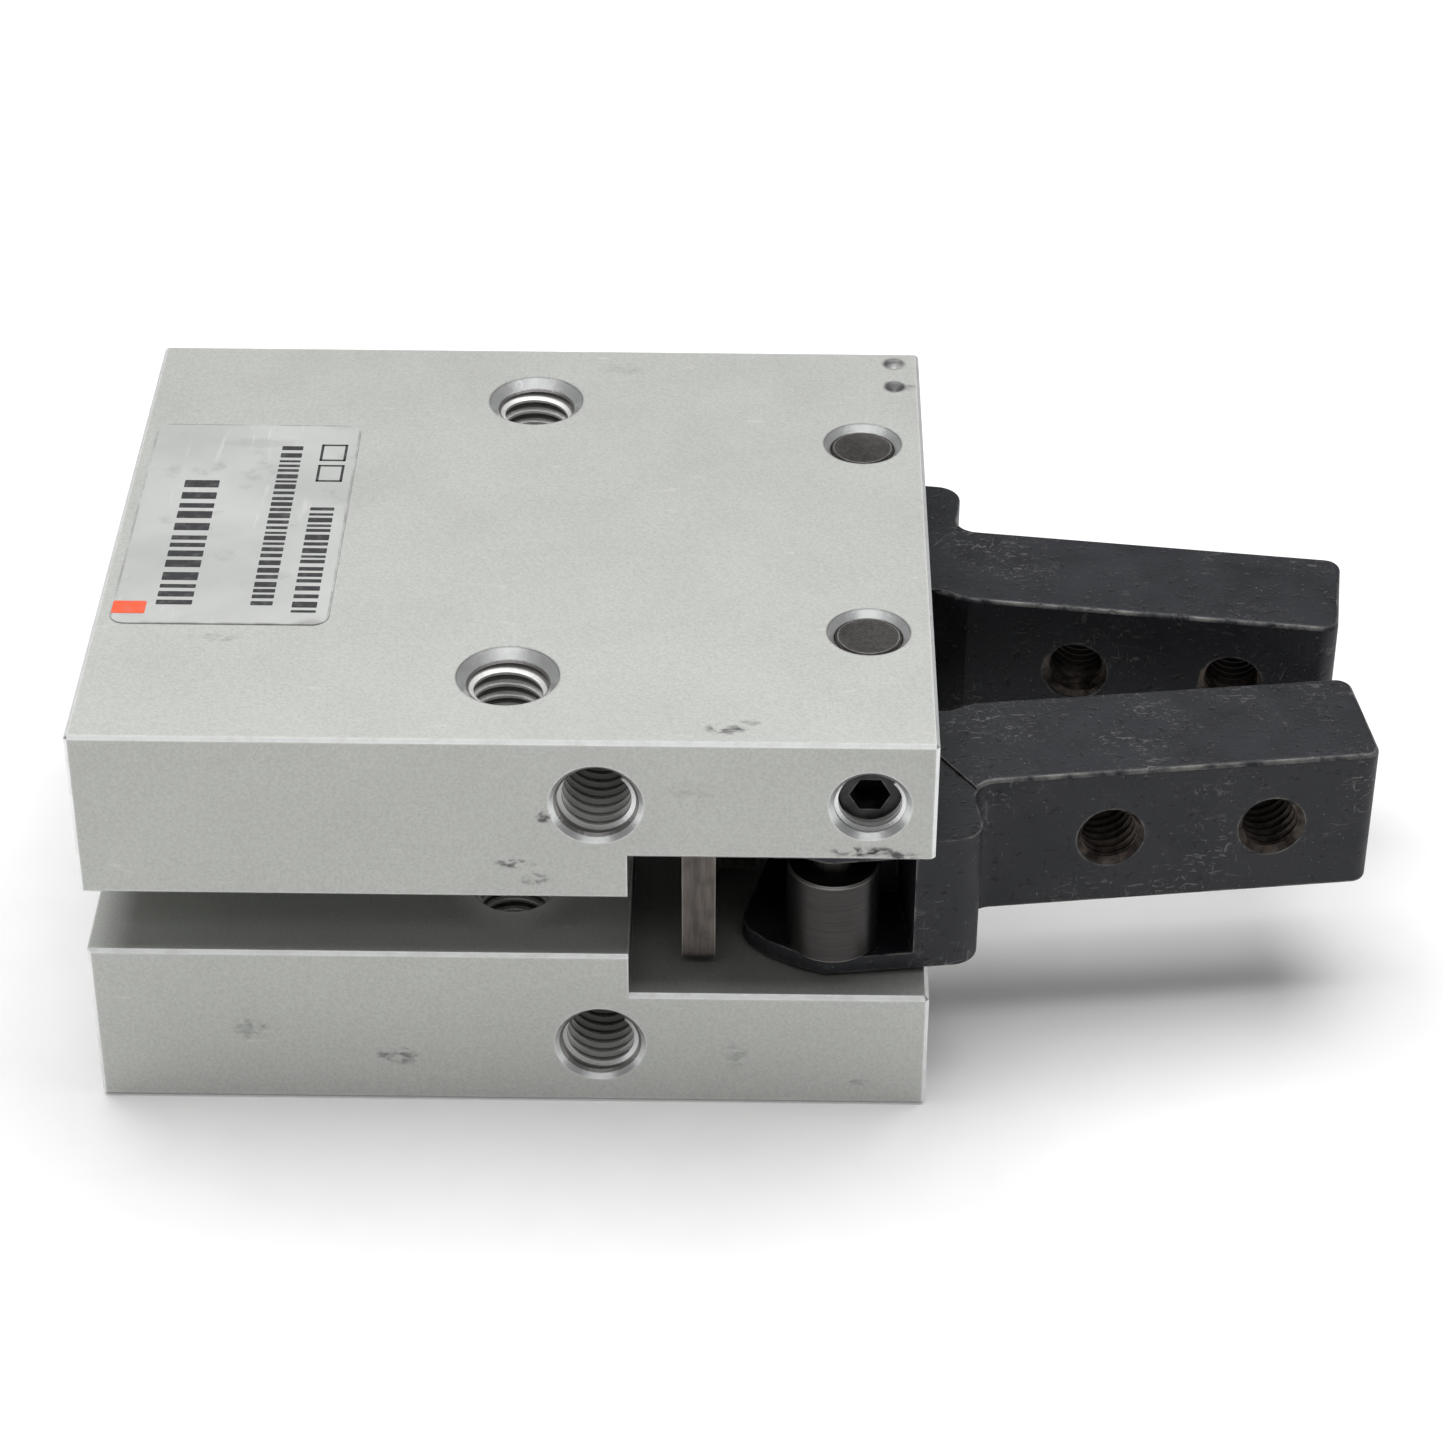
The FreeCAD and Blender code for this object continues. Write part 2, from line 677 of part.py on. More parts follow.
def make_roller_pair(name, flipped):
    """The roller in a finger's fork and the pin it turns on, which both ears hold."""
    y = -roller_y if flipped else roller_y
    turn = math.radians(-closed_angle.value if flipped else closed_angle.value)
    centre_x = roller_x * math.cos(turn) - y * math.sin(turn)
    centre_y = roller_x * math.sin(turn) + y * math.cos(turn)
    pivot_y = pivot_spread / 2 if flipped else -pivot_spread / 2
    place = (pivot_place + centre_x, pivot_y + centre_y)
    fork_bottom = -fork_top if flipped else fork_top - fork_height
    bottom = axis_height + fork_bottom + roller_lift
    bore = roller_pin_radius + roller_clearance
    turned(f"{name}_roller", [
        (0, bore + roller_bevel),
        (0, roller_radius - roller_bevel),
        (roller_bevel, roller_radius),
        (roller_height - roller_bevel, roller_radius),
        (roller_height, roller_radius - roller_bevel),
        (roller_height, bore + roller_bevel),
        (roller_height - roller_bevel, bore),
        (roller_bevel, bore),
    ], upright=True, place=(*place, bottom))
    half = arm_half_height - hub_step
    turned(f"{name}_roller_pin", pin_profile(half, roller_pin_radius, pin_bevel), True, (*place, axis_height))


def pin_profile(half, radius, bevel):
    """A plain pin with bevelled ends, centred on its own middle."""
    return [
        (-half, 0),
        (-half, radius - bevel),
        (-half + bevel, radius),
        (half - bevel, radius),
        (half, radius - bevel),
        (half, 0),
    ]


def make_finger_pins(name, pivot_y):
    """The pin a finger turns on and the set screw that holds it."""
    half = (body_height - pivot_floor - pivot_recess) / 2
    middle = pivot_floor + half
    turned(f"{name}_pivot_pin", pin_profile(half, pivot_pin_radius, pin_bevel), True,
           (pivot_place, pivot_y, middle))

    screw = new_body(f"{name}_set_screw")
    outward = -1 if number(pivot_y) < 0 else 1
    length = side - pivot_spread / 2 - pivot_pin_radius - screw_recess
    profile = sketch_on(screw, "profile", "XY_Plane")
    half_profile = [
        (0, -length),
        (screw_radius - screw_point, -length),
        (screw_radius, -length + screw_point),
        (screw_radius, -screw_bevel),
        (screw_radius - screw_bevel, 0),
        (0, 0),
    ]
    outline(profile, [(across, along * outward) for across, along in half_profile])
    revolve(screw, profile, "V_Axis")
    socket = sketch_on(screw, "socket", "XZ_Plane")
    hexagon(socket, screw_socket)
    pocket(screw, socket, screw_socket_depth, outward > 0)
    put(screw, (pivot_place, -side + screw_recess if outward < 0 else side - screw_recess, screw_height))


def hexagon(sketch, across_flats):
    corner = across_flats * round(0.5 / math.cos(math.pi / 6), 6)
    points = []
    for sixth in range(6):
        angle = math.pi / 3 * sixth
        points.append((corner * round(math.cos(angle), 6), corner * round(math.sin(angle), 6)))
    outline(sketch, points)


# ---------------------------------------------------------------- pistons, rods and crosshead
def make_pistons():
    start = rear + rear_piston_start
    end = start + rear_piston_length
    groove_start = start + (rear_piston_length - seal_groove_width) / 2
    nut_end = start + nut_pocket_depth
    turned("rear_piston", [
        (start, nut_pocket_radius),
        (start, piston_radius),
        (groove_start, piston_radius),
        (groove_start, seal_groove_radius),
        (groove_start + seal_groove_width, seal_groove_radius),
        (groove_start + seal_groove_width, piston_radius),
        (end, piston_radius),
        (end, spigot_radius),
        (nut_end, spigot_radius),
        (nut_end, nut_pocket_radius),
    ], place=(0, 0, axis_height))
    seal_ring = cylinder_radius - seal_gap - seal_section
    o_ring("rear_piston_seal", groove_start + seal_groove_width / 2, seal_ring, seal_section)

    nut = new_body("rod_nut")
    nut_sketch = sketch_on(nut, "hexagon", "YZ_Plane", height=nut_end - nut_thickness)
    hexagon(nut_sketch, nut_across)
    circle(nut_sketch, 0, 0, spigot_radius + press_gap)
    pad(nut, nut_sketch, nut_thickness)
    put(nut, (0, 0, axis_height))

    front_start = rear + front_piston_start
    front_end = front_start + front_piston_length
    bore = rod_radius + rod_clearance
    seal_start = front_end - front_seal_margin - seal_groove_width
    gland_start = front_start + inner_gland_offset
    head_start = rear + crosshead_start
    spigot_end = head_start + crosshead_block - spigot_setback
    turned("front_piston", [
        (front_start, bore),
        (front_start, magnet_inner),
        (front_start + magnet_thickness, magnet_inner),
        (front_start + magnet_thickness, magnet_outer),
        (front_start, magnet_outer),
        (front_start, piston_radius),
        (seal_start, piston_radius),
        (seal_start, seal_groove_radius),
        (seal_start + seal_groove_width, seal_groove_radius),
        (seal_start + seal_groove_width, piston_radius),
        (front_end, piston_radius),
        (front_end, tube_radius),
        (head_start, tube_radius),
        (head_start, tube_spigot_radius),
        (spigot_end, tube_spigot_radius),
        (spigot_end, bore),
        (gland_start + tube_gland_width, bore),
        (gland_start + tube_gland_width, tube_gland_radius),
        (gland_start, tube_gland_radius),
        (gland_start, bore),
    ], place=(0, 0, axis_height))
    o_ring("front_piston_seal", seal_start + seal_groove_width / 2, seal_ring, seal_section)
    inner_ring = rod_radius + rod_clearance + inner_seal_section
    o_ring("inner_rod_seal", gland_start + tube_gland_width / 2, inner_ring, inner_seal_section)
    turned("magnet_ring", ring_profile(front_start, magnet_thickness, magnet_inner, magnet_outer),
           place=(0, 0, axis_height))
    gland_ring = tube_radius + seal_gap + seal_section
    gland_middle = wall_start + rod_gland_offset + rod_gland_width / 2
    o_ring("rod_seal", gland_middle, gland_ring, seal_section - press_gap)


def ring_profile(start, thickness, inner, outer):
    return [(start, inner), (start, outer), (start + thickness, outer), (start + thickness, inner)]


def make_piston_rod():
    """The inner rod: a threaded spigot at the rear piston and a flat tang with an eye in front."""
    piston_end = rear + rear_piston_start + rear_piston_length
    spigot_start = rear + rear_piston_start + rod_end_setback
    tip = rear + centre_pin_place + rod_radius
    rod = new_body("piston_rod")
    profile = sketch_on(rod, "profile", "XZ_Plane")
    outline(profile, [
        (spigot_start, 0),
        (spigot_start, spigot_radius),
        (piston_end, spigot_radius),
        (piston_end, rod_radius),
        (tip - rod_tip_bevel, rod_radius),
        (tip, rod_radius - rod_tip_bevel),
        (tip, 0),
    ])
    revolve(rod, profile, "H_Axis")
    for name, low, high in (
        ("upper_flat", tang_thickness / 2, rod_radius + 1),
        ("lower_flat", -rod_radius - 1, -tang_thickness / 2),
    ):
        flat = sketch_on(rod, name, "XZ_Plane")
        rectangle(flat, tip - tang_length, tip + 1, low, high)
        pocket(rod, flat)
    eye = sketch_on(rod, "eye", "XY_Plane")
    circle(eye, rear + centre_pin_place, 0, centre_pin_radius)
    pocket(rod, eye)
    put(rod, (0, 0, axis_height))
    turned("centre_pin", pin_profile(centre_pin_length / 2, centre_pin_radius, pin_bevel), True,
           (rear + centre_pin_place, 0, axis_height))


def make_crosshead():
    """The plate that pushes the rollers, with its forward block, fixed on the hollow rod."""
    start = rear + crosshead_start
    body = new_body("crosshead")
    plate = sketch_on(body, "plate", "XY_Plane", height=-crosshead_height / 2)
    rectangle(plate, start, start + crosshead_plate, -crosshead_width / 2, crosshead_width / 2)
    pad(body, plate, crosshead_height)
    block = sketch_on(body, "block", "XY_Plane", height=-crosshead_height / 2)
    half = crosshead_block_width / 2
    rectangle(block, start + crosshead_plate / 2, start + crosshead_block, -half, half)
    pad(body, block, crosshead_height)
    half_width = crosshead_width / 2

    def is_end_corner(edge):
        level = flat_at(edge, Y_AXIS, half_width) or flat_at(edge, Y_AXIS, -half_width)
        return level and edge.BoundBox.XLength > 1

    dress(body, "Fillet", "end_corners", edges_where(body, is_end_corner), crosshead_break)
    bore = sketch_on(body, "bore", "YZ_Plane", height=start - 1)
    circle(bore, 0, 0, tube_spigot_radius + press_gap)
    pocket(body, bore, crosshead_block + 2, True)
    put(body, (0, 0, axis_height))


# ---------------------------------------------------------------- rear end, bumpers and label
def make_rear_end():
    cap_start = rear + ring_groove_start + ring_groove_width
    cap_end = rear + seat_depth
    groove_start = cap_start + (seat_depth - ring_groove_start - ring_groove_width - seal_groove_width) / 2
    turned("rear_cap", [
        (cap_start + cap_puller_depth, 0),
        (cap_start + cap_puller_depth, cap_puller_radius),
        (cap_start + cap_dish_depth, cap_puller_radius),
        (cap_start + cap_dish_depth, cap_dish_radius),
        (cap_start, cap_dish_radius + cap_bevel),
        (cap_start, cap_radius - cap_bevel),
        (cap_start + cap_bevel, cap_radius),
        (groove_start, cap_radius),
        (groove_start, cap_seal_groove_radius),
        (groove_start + seal_groove_width, cap_seal_groove_radius),
        (groove_start + seal_groove_width, cap_radius),
        (cap_end, cap_radius),
        (cap_end, 0),
    ], place=(0, 0, axis_height))
    o_ring("cap_seal", groove_start + seal_groove_width / 2, cap_radius - seal_section, seal_section)
    turned("rear_bumper", ring_profile(cap_end, rear_bumper_thickness, bumper_inner, bumper_outer),
           place=(0, 0, axis_height))
    turned("front_bumper",
           ring_profile(wall_start - front_bumper_thickness, front_bumper_thickness,
                        front_bumper_inner, front_bumper_outer),
           place=(0, 0, axis_height))


def make_retaining_ring():
    """An open inner ring with two lugs, in the groove behind the cap."""
    body = new_body("retaining_ring")
    start = rear + ring_groove_start + (ring_groove_width - ring_thickness) / 2
    hoop = sketch_on(body, "hoop", "YZ_Plane", height=start)
    circle(hoop, 0, 0, ring_outer)
    circle(hoop, 0, 0, ring_inner)
    pad(body, hoop, ring_thickness)
    for name, across in (("right_lug", -ring_lug_side), ("left_lug", ring_lug_side)):
        lug = sketch_on(body, name, "YZ_Plane", height=start)
        circle(lug, across, ring_lug_place, ring_lug_radius)
        pad(body, lug, ring_thickness)
    gap = sketch_on(body, "gap", "YZ_Plane", height=start + ring_thickness)
    rectangle(gap, -ring_gap / 2, ring_gap / 2, ring_lug_place / 2, ring_outer + 1)
    pocket(body, gap, ring_thickness)
    holes = sketch_on(body, "lug_holes", "YZ_Plane", height=start + ring_thickness)
    circle(holes, -ring_lug_side, ring_lug_place, ring_lug_hole)
    circle(holes, ring_lug_side, ring_lug_place, ring_lug_hole)
    pocket(body, holes, ring_thickness)
    put(body, (0, 0, axis_height))


def make_label():
    body = new_body("label")
    sheet_outline = sketch_on(body, "outline", "XY_Plane")
    start = rear + label_inset
    near_side = label_shift - label_width / 2
    rectangle(sheet_outline, start, start + label_length, near_side, near_side + label_width)
    pad(body, sheet_outline, label_thickness)

    def is_corner(edge):
        return edge.BoundBox.ZLength > 0.05 and edge.BoundBox.XLength < TOLERANCE * 100

    upright = [name for name in edges_where(body, is_corner)
               if body.Shape.getElement(name).BoundBox.YLength < TOLERANCE * 100]
    dress(body, "Fillet", "corners", upright, label_corner)
    put(body, (0, 0, body_height))


# ---------------------------------------------------------------- assembly and files
def check_and_write():
    doc.recompute()
    for item in doc.Objects:
        if "Invalid" in item.State or "Error" in item.State:
            raise RuntimeError(f"{item.Name} failed: {item.State}")
    os.makedirs("parts", exist_ok=True)
    for piece in pieces:
        shape = piece.Shape
        if shape.isNull() or not shape.isValid() or shape.Volume <= 0:
            raise RuntimeError(f"{piece.Label} has no valid shape")
        shape.exportStep(f"parts/{piece.Label}.step")
        print(f"{piece.Label}: {shape.Volume:.2f} mm3, {len(shape.Solids)} solid")


make_housing_body()
make_rear_end()
make_retaining_ring()
make_pistons()
make_piston_rod()
make_crosshead()
for side_name, is_left in (("right", False), ("left", True)):
    make_finger(f"{side_name}_finger", is_left)
    make_roller_pair(side_name, is_left)
    make_finger_pins(side_name, pivot_spread / 2 if is_left else -pivot_spread / 2)
make_label()
check_and_write()
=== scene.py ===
import math
import random

import bmesh
import bpy
from mathutils import Matrix, Vector


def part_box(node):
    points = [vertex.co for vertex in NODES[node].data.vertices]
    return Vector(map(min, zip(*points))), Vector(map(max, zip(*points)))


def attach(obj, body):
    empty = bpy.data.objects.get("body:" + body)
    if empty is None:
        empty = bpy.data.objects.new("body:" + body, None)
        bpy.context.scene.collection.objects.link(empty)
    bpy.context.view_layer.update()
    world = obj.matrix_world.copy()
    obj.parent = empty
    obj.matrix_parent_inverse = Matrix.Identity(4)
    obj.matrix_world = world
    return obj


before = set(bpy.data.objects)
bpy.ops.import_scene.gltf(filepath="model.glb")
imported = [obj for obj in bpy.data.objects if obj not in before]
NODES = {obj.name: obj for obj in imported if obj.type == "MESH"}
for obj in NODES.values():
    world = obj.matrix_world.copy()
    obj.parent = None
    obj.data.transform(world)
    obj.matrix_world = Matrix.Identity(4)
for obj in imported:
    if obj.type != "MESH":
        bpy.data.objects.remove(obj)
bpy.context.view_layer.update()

MM = 0.001

# ---------------------------------------------------------------- sizes of the gripper
BODY_LOW, BODY_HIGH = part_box("body")
LABEL_LOW, LABEL_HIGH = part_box("label")
AXIS_HEIGHT = (BODY_LOW.z + BODY_HIGH.z) / 2
MOUNT_SPREAD = 38 * MM
SIDE_MOUNT_X = 6.4 * MM
SIDE_MOUNT_RISE = 10.7 * MM
GROOVE_HALF = 2.55 * MM
CAVITY_HALF = 6.1 * MM
CAVITY_START = 8.5 * MM
PIVOT = Vector((25.35, 13.0, 16.0)) * MM
CLOSED_ANGLE = math.radians(7.5)
JAW_HOLES = (17.5 * MM, 29.5 * MM)
ARM_HALF_WIDTH = 5 * MM
SCREW_HEIGHT = 26.8 * MM
PORT_PLACES = (-20.8 * MM, -9.5 * MM)
PORT_HEIGHT = 26 * MM

# ---------------------------------------------------------------- threads
M6_RADIUS, M6_PITCH = 3.0 * MM, 1.0 * MM
M5_RADIUS, M5_PITCH = 2.5 * MM, 0.8 * MM
SCREW_PITCH = 0.5 * MM
SIDE_THREAD_LENGTH = 8.8 * MM
SCREW_THREAD_LENGTH = 1.9 * MM
PORT_THREAD_LENGTH = 4.4 * MM
# How far below the face each kind of thread starts, in or under its countersink.
MOUNT_INSET, SIDE_INSET, SCREW_INSET, JAW_INSET = 0.65 * MM, 0.3 * MM, 0.4 * MM, 0.05 * MM
# How far each kind of thread's mouth is bevelled, as a share of the ridge's height.
MOUNT_MOUTH, SIDE_MOUTH, FULL_MOUTH, NO_MOUTH = 0.35, 0.45, 1.0, 0
THREAD_STEPS = 40           # points in one turn
THREAD_ROOT = 0.03 * MM     # how far the ridge and the mouth run into the wall of the hole
MOUTH_STEP = 0.04 * MM      # how much lower than the ridge the mouth's edge is
# The rest is in pitches.
RIDGE_HEIGHT = 0.541
RIDGE_FOOT, RIDGE_CREST = 0.43, 0.10  # half widths of the ridge
MOUTH_BACK = 0.3
RIDGE_START, RIDGE_MOUTH_SHIFT = 0.4, 0.2
RIDGE_END = 0.45
FADE_RATE, FADE_LEAST = 5, 0.12  # how the ridge's height runs out over its last turn

# ---------------------------------------------------------------- reach of the colour masks
MARGIN = 0.1 * MM
BROKEN_EDGE = 0.35 * MM
RIM_INSET = 0.8 * MM
MOUNT_COUNTERSINK = 0.7 * MM
SIDE_COUNTERSINK = 0.35 * MM
DEEPEST_CHAMFER = 0.9 * MM
SLOPED = (0.25, 0.93)  # surface direction of a chamfer, as its part along an axis
M6_WALL = M6_RADIUS + 0.06 * MM
M6_FLANK = M6_RADIUS - 0.24 * MM

# Where handling has left grey marks on the housing: centre and reach in millimetres, and strength.
SMUDGES = (
    ((15.3, -25.2, 32), (1.7, 0.8, 1), 0.85),
    ((17.0, -24.4, 32), (0.9, 0.5, 1), 0.35),
    ((25.0, -27, 22.95), (3.0, 1, 0.55), 1.0),
    ((27.8, -27, 22.6), (1.4, 1, 0.4), 0.9),
    ((-8.3, -27, 4.0), (1.7, 1, 0.9), 0.6),
    ((-18.8, -27, 6.4), (1.6, 1, 1.1), 0.35),
    ((0.6, -27, 21.6), (1.7, 1, 0.45), 0.95),
    ((2.2, -27, 20.2), (1.3, 1, 0.6), 0.5),
    ((2.9, -27, 25.6), (0.8, 1, 0.6), 0.85),
    ((16.2, -27, 4.4), (1.1, 1, 1.4), 0.25),
    ((25.4, -27, 2.0), (1.3, 1, 0.4), 0.3),
    ((13.0, -27, 28.0), (2.0, 1, 1.2), 0.15),
    ((-21.0, -14.6, 32), (3.0, 0.7, 1), 0.22),
    ((29.0, 21.7, 32), (0.9, 0.7, 1), 0.4),
    ((6.5, 24.0, 32), (2.2, 1.2, 1), 0.12),
    ((-12.0, 27, 9.0), (2.0, 1, 1.2), 0.4),
    ((14.0, 27, 26.0), (1.5, 1, 0.8), 0.4),
    ((-9.0, 12.0, 0), (2.4, 1.3, 1), 0.35),
    ((12.0, -9.0, 0), (1.6, 2.2, 1), 0.3),
)
# The two dimples in the top face, and the pale burr left in the far one.
NEAR_DIMPLE, FAR_DIMPLE, DIMPLE_REACH = (28, 21.7, 32), (28, 25.3, 32), (1.1, 1.1, 1.1)
BURR, BURR_REACH = (28.1, 25.1, 32), (0.8, 0.8, 1.2)

# Rubbed and dirty places on the label, as for the housing.
LABEL_MARKS = (
    ((-14.5, -13.6, 32), (1.8, 1.6, 1), 0.40),
    ((-12.6, -12.9, 32), (1.0, 1.8, 1), 0.40),
    ((-20.5, 12.0, 32), (3.4, 0.9, 1), 0.18),
    ((-12.9, 3.0, 32), (0.7, 5.0, 1), 0.18),
)

# ---------------------------------------------------------------- print on the label
INK = 0.02 * MM
# All measured in millimetres along x and y from the label's low corner.
CORNER_MARK, CORNER_MARK_SIZE = (0.05, 1.2), (2.4, 1.6)
# Each row of bars: its x, its height, and the y where it starts and stops.
BAR_ROWS = ((3.1, 2.6, 2.4, 18.8), (9.9, 1.6, 2.4, 24.8), (12.9, 1.8, 1.5, 16.0))
BAR_WIDTHS, BAR_GAPS = (0.16, 0.42), (0.16, 0.30)  # least and most, as shares of the row's height
FRAME_X = (12.9, 14.9)
FRAME_STARTS, FRAME_LENGTH = (19.4, 22.4), 2.4
FRAME_LINE = 0.2 * MM
MARK_CORNER, BAR_CORNER, FRAME_CORNER = 0.15 * MM, 0.06 * MM, 0.04 * MM
CORNER_STEPS = 4

# ---------------------------------------------------------------- camera, light and floor
CAMERA_ANGLES = (0.586, 35.07, 0.28)  # azimuth, elevation and roll, in degrees
CAMERA_PLACE = Vector((17.31, -241.40, 184.33)) * MM
LENS, SENSOR_WIDTH = 96.06, 36
SKY = 0.18
LIGHT_TARGET = Vector((0, 0, 0.02))
FLOOR_DROP = 0.0001
FLOOR_SIZE, FLOOR_CELLS = 1.5, 8
FLOOR_GLOW = 0.07


def make_camera():
    """The camera looks down on the side of the block, nearly square to it."""
    azimuth, elevation, roll = (math.radians(angle) for angle in CAMERA_ANGLES)
    back = Vector((
        math.sin(azimuth) * math.cos(elevation),
        -math.cos(azimuth) * math.cos(elevation),
        math.sin(elevation),
    ))
    level = Vector((math.cos(azimuth), math.sin(azimuth), 0))
    upright = back.cross(level)
    right = level * math.cos(roll) + upright * math.sin(roll)
    up = upright * math.cos(roll) - level * math.sin(roll)
    data = bpy.data.cameras.new("camera")
    data.sensor_width = SENSOR_WIDTH
    data.lens = LENS
    data.clip_start, data.clip_end = 0.01, 10
    camera = bpy.data.objects.new("camera", data)
    bpy.context.scene.collection.objects.link(camera)
    camera.matrix_world = Matrix.Translation(CAMERA_PLACE) @ Matrix((right, up, back)).transposed().to_4x4()
    bpy.context.scene.camera = camera


def area_light(name, place, size, power):
    data = bpy.data.lights.new(name, "AREA")
    data.shape = "RECTANGLE"
    data.size, data.size_y = size
    data.energy = power
    light = bpy.data.objects.new(name, data)
    bpy.context.scene.collection.objects.link(light)
    light.location = place
    light.rotation_euler = (LIGHT_TARGET - Vector(place)).to_track_quat("-Z", "Y").to_euler()


def make_studio():
    """A pale floor, a broad soft light above and behind, and a weak strip of light in front."""
    world = bpy.data.worlds.new("studio")
    bpy.context.scene.world = world
    world.use_nodes = True
    background = world.node_tree.nodes["Background"]
    background.inputs["Color"].default_value = (1, 1, 1, 1)
    background.inputs["Strength"].default_value = SKY
    area_light("overhead", (0.0, 0.12, 0.60), (0.75, 0.5), 4.7)
    area_light("front_strip", (0.0, -0.42, 0.60), (0.7, 0.14), 0.45)

    mesh = bpy.data.meshes.new("floor")
    shape = bmesh.new()
    bmesh.ops.create_grid(shape, x_segments=FLOOR_CELLS, y_segments=FLOOR_CELLS, size=FLOOR_SIZE)
    shape.to_mesh(mesh)
    shape.free()
    floor = bpy.data.objects.new("floor", mesh)
    floor.location.z = BODY_LOW.z - FLOOR_DROP
    bpy.context.scene.collection.objects.link(floor)
    surface = Surface("pale_floor", 0, 0.9, (0.95, 0.95, 0.95))
    grain = surface.noise(300, 3)
    surface.colour(surface.ramp(grain, (0.3, 0.94), (0.7, 0.97)))
    surface.shader.inputs["Emission Color"].default_value = (1, 1, 1, 1)
    surface.shader.inputs["Emission Strength"].default_value = FLOOR_GLOW
    mesh.materials.append(surface.material)


# ---------------------------------------------------------------- procedural surfaces
class Surface:
    """One node material, built up in layers from the places on the piece itself."""

    def __init__(self, name, metallic, roughness, colour):
        self.material = bpy.data.materials.new(name)
        self.material.use_nodes = True
        self.tree = self.material.node_tree
        self.shader = self.tree.nodes["Principled BSDF"]
        self.shader.inputs["Metallic"].default_value = metallic
        self.shader.inputs["Roughness"].default_value = roughness
        self.shader.inputs["Base Color"].default_value = (*colour, 1)
        self.position = self.node("ShaderNodeTexCoord").outputs["Object"]
        self.last_bump = None

    def feed(self, socket, value):
        if isinstance(value, bpy.types.NodeSocket):
            self.tree.links.new(value, socket)
        else:
            socket.default_value = value

    def node(self, kind, **inputs):
        made = self.tree.nodes.new(kind)
        for name, value in inputs.items():
            self.feed(made.inputs[name], value)
        return made

    def operate(self, kind, operation, values):
        made = self.tree.nodes.new(kind)
        made.operation = operation
        for socket, value in zip(made.inputs, values):
            self.feed(socket, value)
        return made

    def math(self, operation, *values):
        return self.operate("ShaderNodeMath", operation, values).outputs[0]

    def vector_math(self, operation, *values):
        return self.operate("ShaderNodeVectorMath", operation, values).outputs

    def times(self, first, second):
        return self.math("MULTIPLY", first, second)

    def minus(self, first, second):
        return self.math("SUBTRACT", first, second)

    def size(self, value):
        return self.math("ABSOLUTE", value)

    def above(self, value, limit):
        return self.math("GREATER_THAN", value, limit)

    def below(self, value, limit):
        return self.math("LESS_THAN", value, limit)

    def between(self, value, low, high):
        return self.times(self.above(value, low), self.below(value, high))

    def apart(self, vector):
        """The three parts of a vector, by the letter of the axis."""
        return self.node("ShaderNodeSeparateXYZ", Vector=vector).outputs

    def facing(self):
        """The three parts of the surface's own direction."""
        return self.apart(self.node("ShaderNodeTexCoord").outputs["Normal"])

    def noise(self, scale, detail=4, stretch=(1, 1, 1), distortion=0.0):
        """Noise with features of about 1/scale metres; a small stretch draws them out along that axis."""
        mapping = self.node("ShaderNodeMapping", Vector=self.position, Scale=stretch)
        made = self.node("ShaderNodeTexNoise", Vector=mapping.outputs[0], Scale=scale, Detail=detail,
                         Roughness=0.55, Distortion=distortion)
        return made.outputs["Fac"]

    def ramp(self, source, *stops):
        """A scale between two stops, each with its place and a grey or a colour."""
        made = self.node("ShaderNodeValToRGB", Fac=source)
        for element, (place, colour) in zip(made.color_ramp.elements, stops):
            element.position = place
            element.color = (colour, colour, colour, 1) if isinstance(colour, (int, float)) else (*colour, 1)
        return made.outputs["Color"]

    def mask(self, source, low, high):
        return self.ramp(source, (low, 0.0), (high, 1.0))

    def mix(self, factor, first, second):
        made = self.tree.nodes.new("ShaderNodeMix")
        made.data_type = "RGBA"
        self.feed(made.inputs[0], factor)
        for place, value in ((6, first), (7, second)):
            self.feed(made.inputs[place], (*value, 1) if isinstance(value, tuple) else value)
        return made.outputs[2]

    def tint(self, tone, mask, strength, colour):
        """The tone with a colour laid over it where the mask is white."""
        return self.mix(self.times(mask, strength), tone, colour)

    def spot(self, centre, reach, ragged=0.0, grain=1500):
        """A mask that is white in an ellipsoid with a ragged edge; sizes in millimetres."""
        offset = self.vector_math("SUBTRACT", self.position, tuple(part * MM for part in centre))[0]
        scaled = self.vector_math("DIVIDE", offset, tuple(part * MM for part in reach))[0]
        distance = self.vector_math("LENGTH", scaled)["Value"]
        if ragged:
            wobble = self.times(self.minus(self.noise(grain, 4), 0.5), ragged)
            distance = self.math("ADD", distance, wobble)
        return self.ramp(distance, (0.55, 1.0), (0.95, 0.0))

    def edges(self, radius, full=0.6, sharp=0.98):
        """A mask that is white along sharp edges, within about one radius."""
        bevel = self.node("ShaderNodeBevel", Radius=radius)
        bevel.samples = 6
        normal = self.node("ShaderNodeNewGeometry").outputs["Normal"]
        turned = self.vector_math("DOT_PRODUCT", bevel.outputs[0], normal)["Value"]
        return self.ramp(turned, (full, 1.0), (sharp, 0.0))

    def colour(self, value):
        self.feed(self.shader.inputs["Base Color"], value)

    def roughness(self, value):
        self.feed(self.shader.inputs["Roughness"], value)

    def bump(self, height, depth, strength):
        made = self.node("ShaderNodeBump", Height=height, Distance=depth, Strength=strength)
        if self.last_bump:
            self.feed(made.inputs["Normal"], self.last_bump.outputs[0])
        self.last_bump = made
        self.feed(self.shader.inputs["Normal"], made.outputs[0])


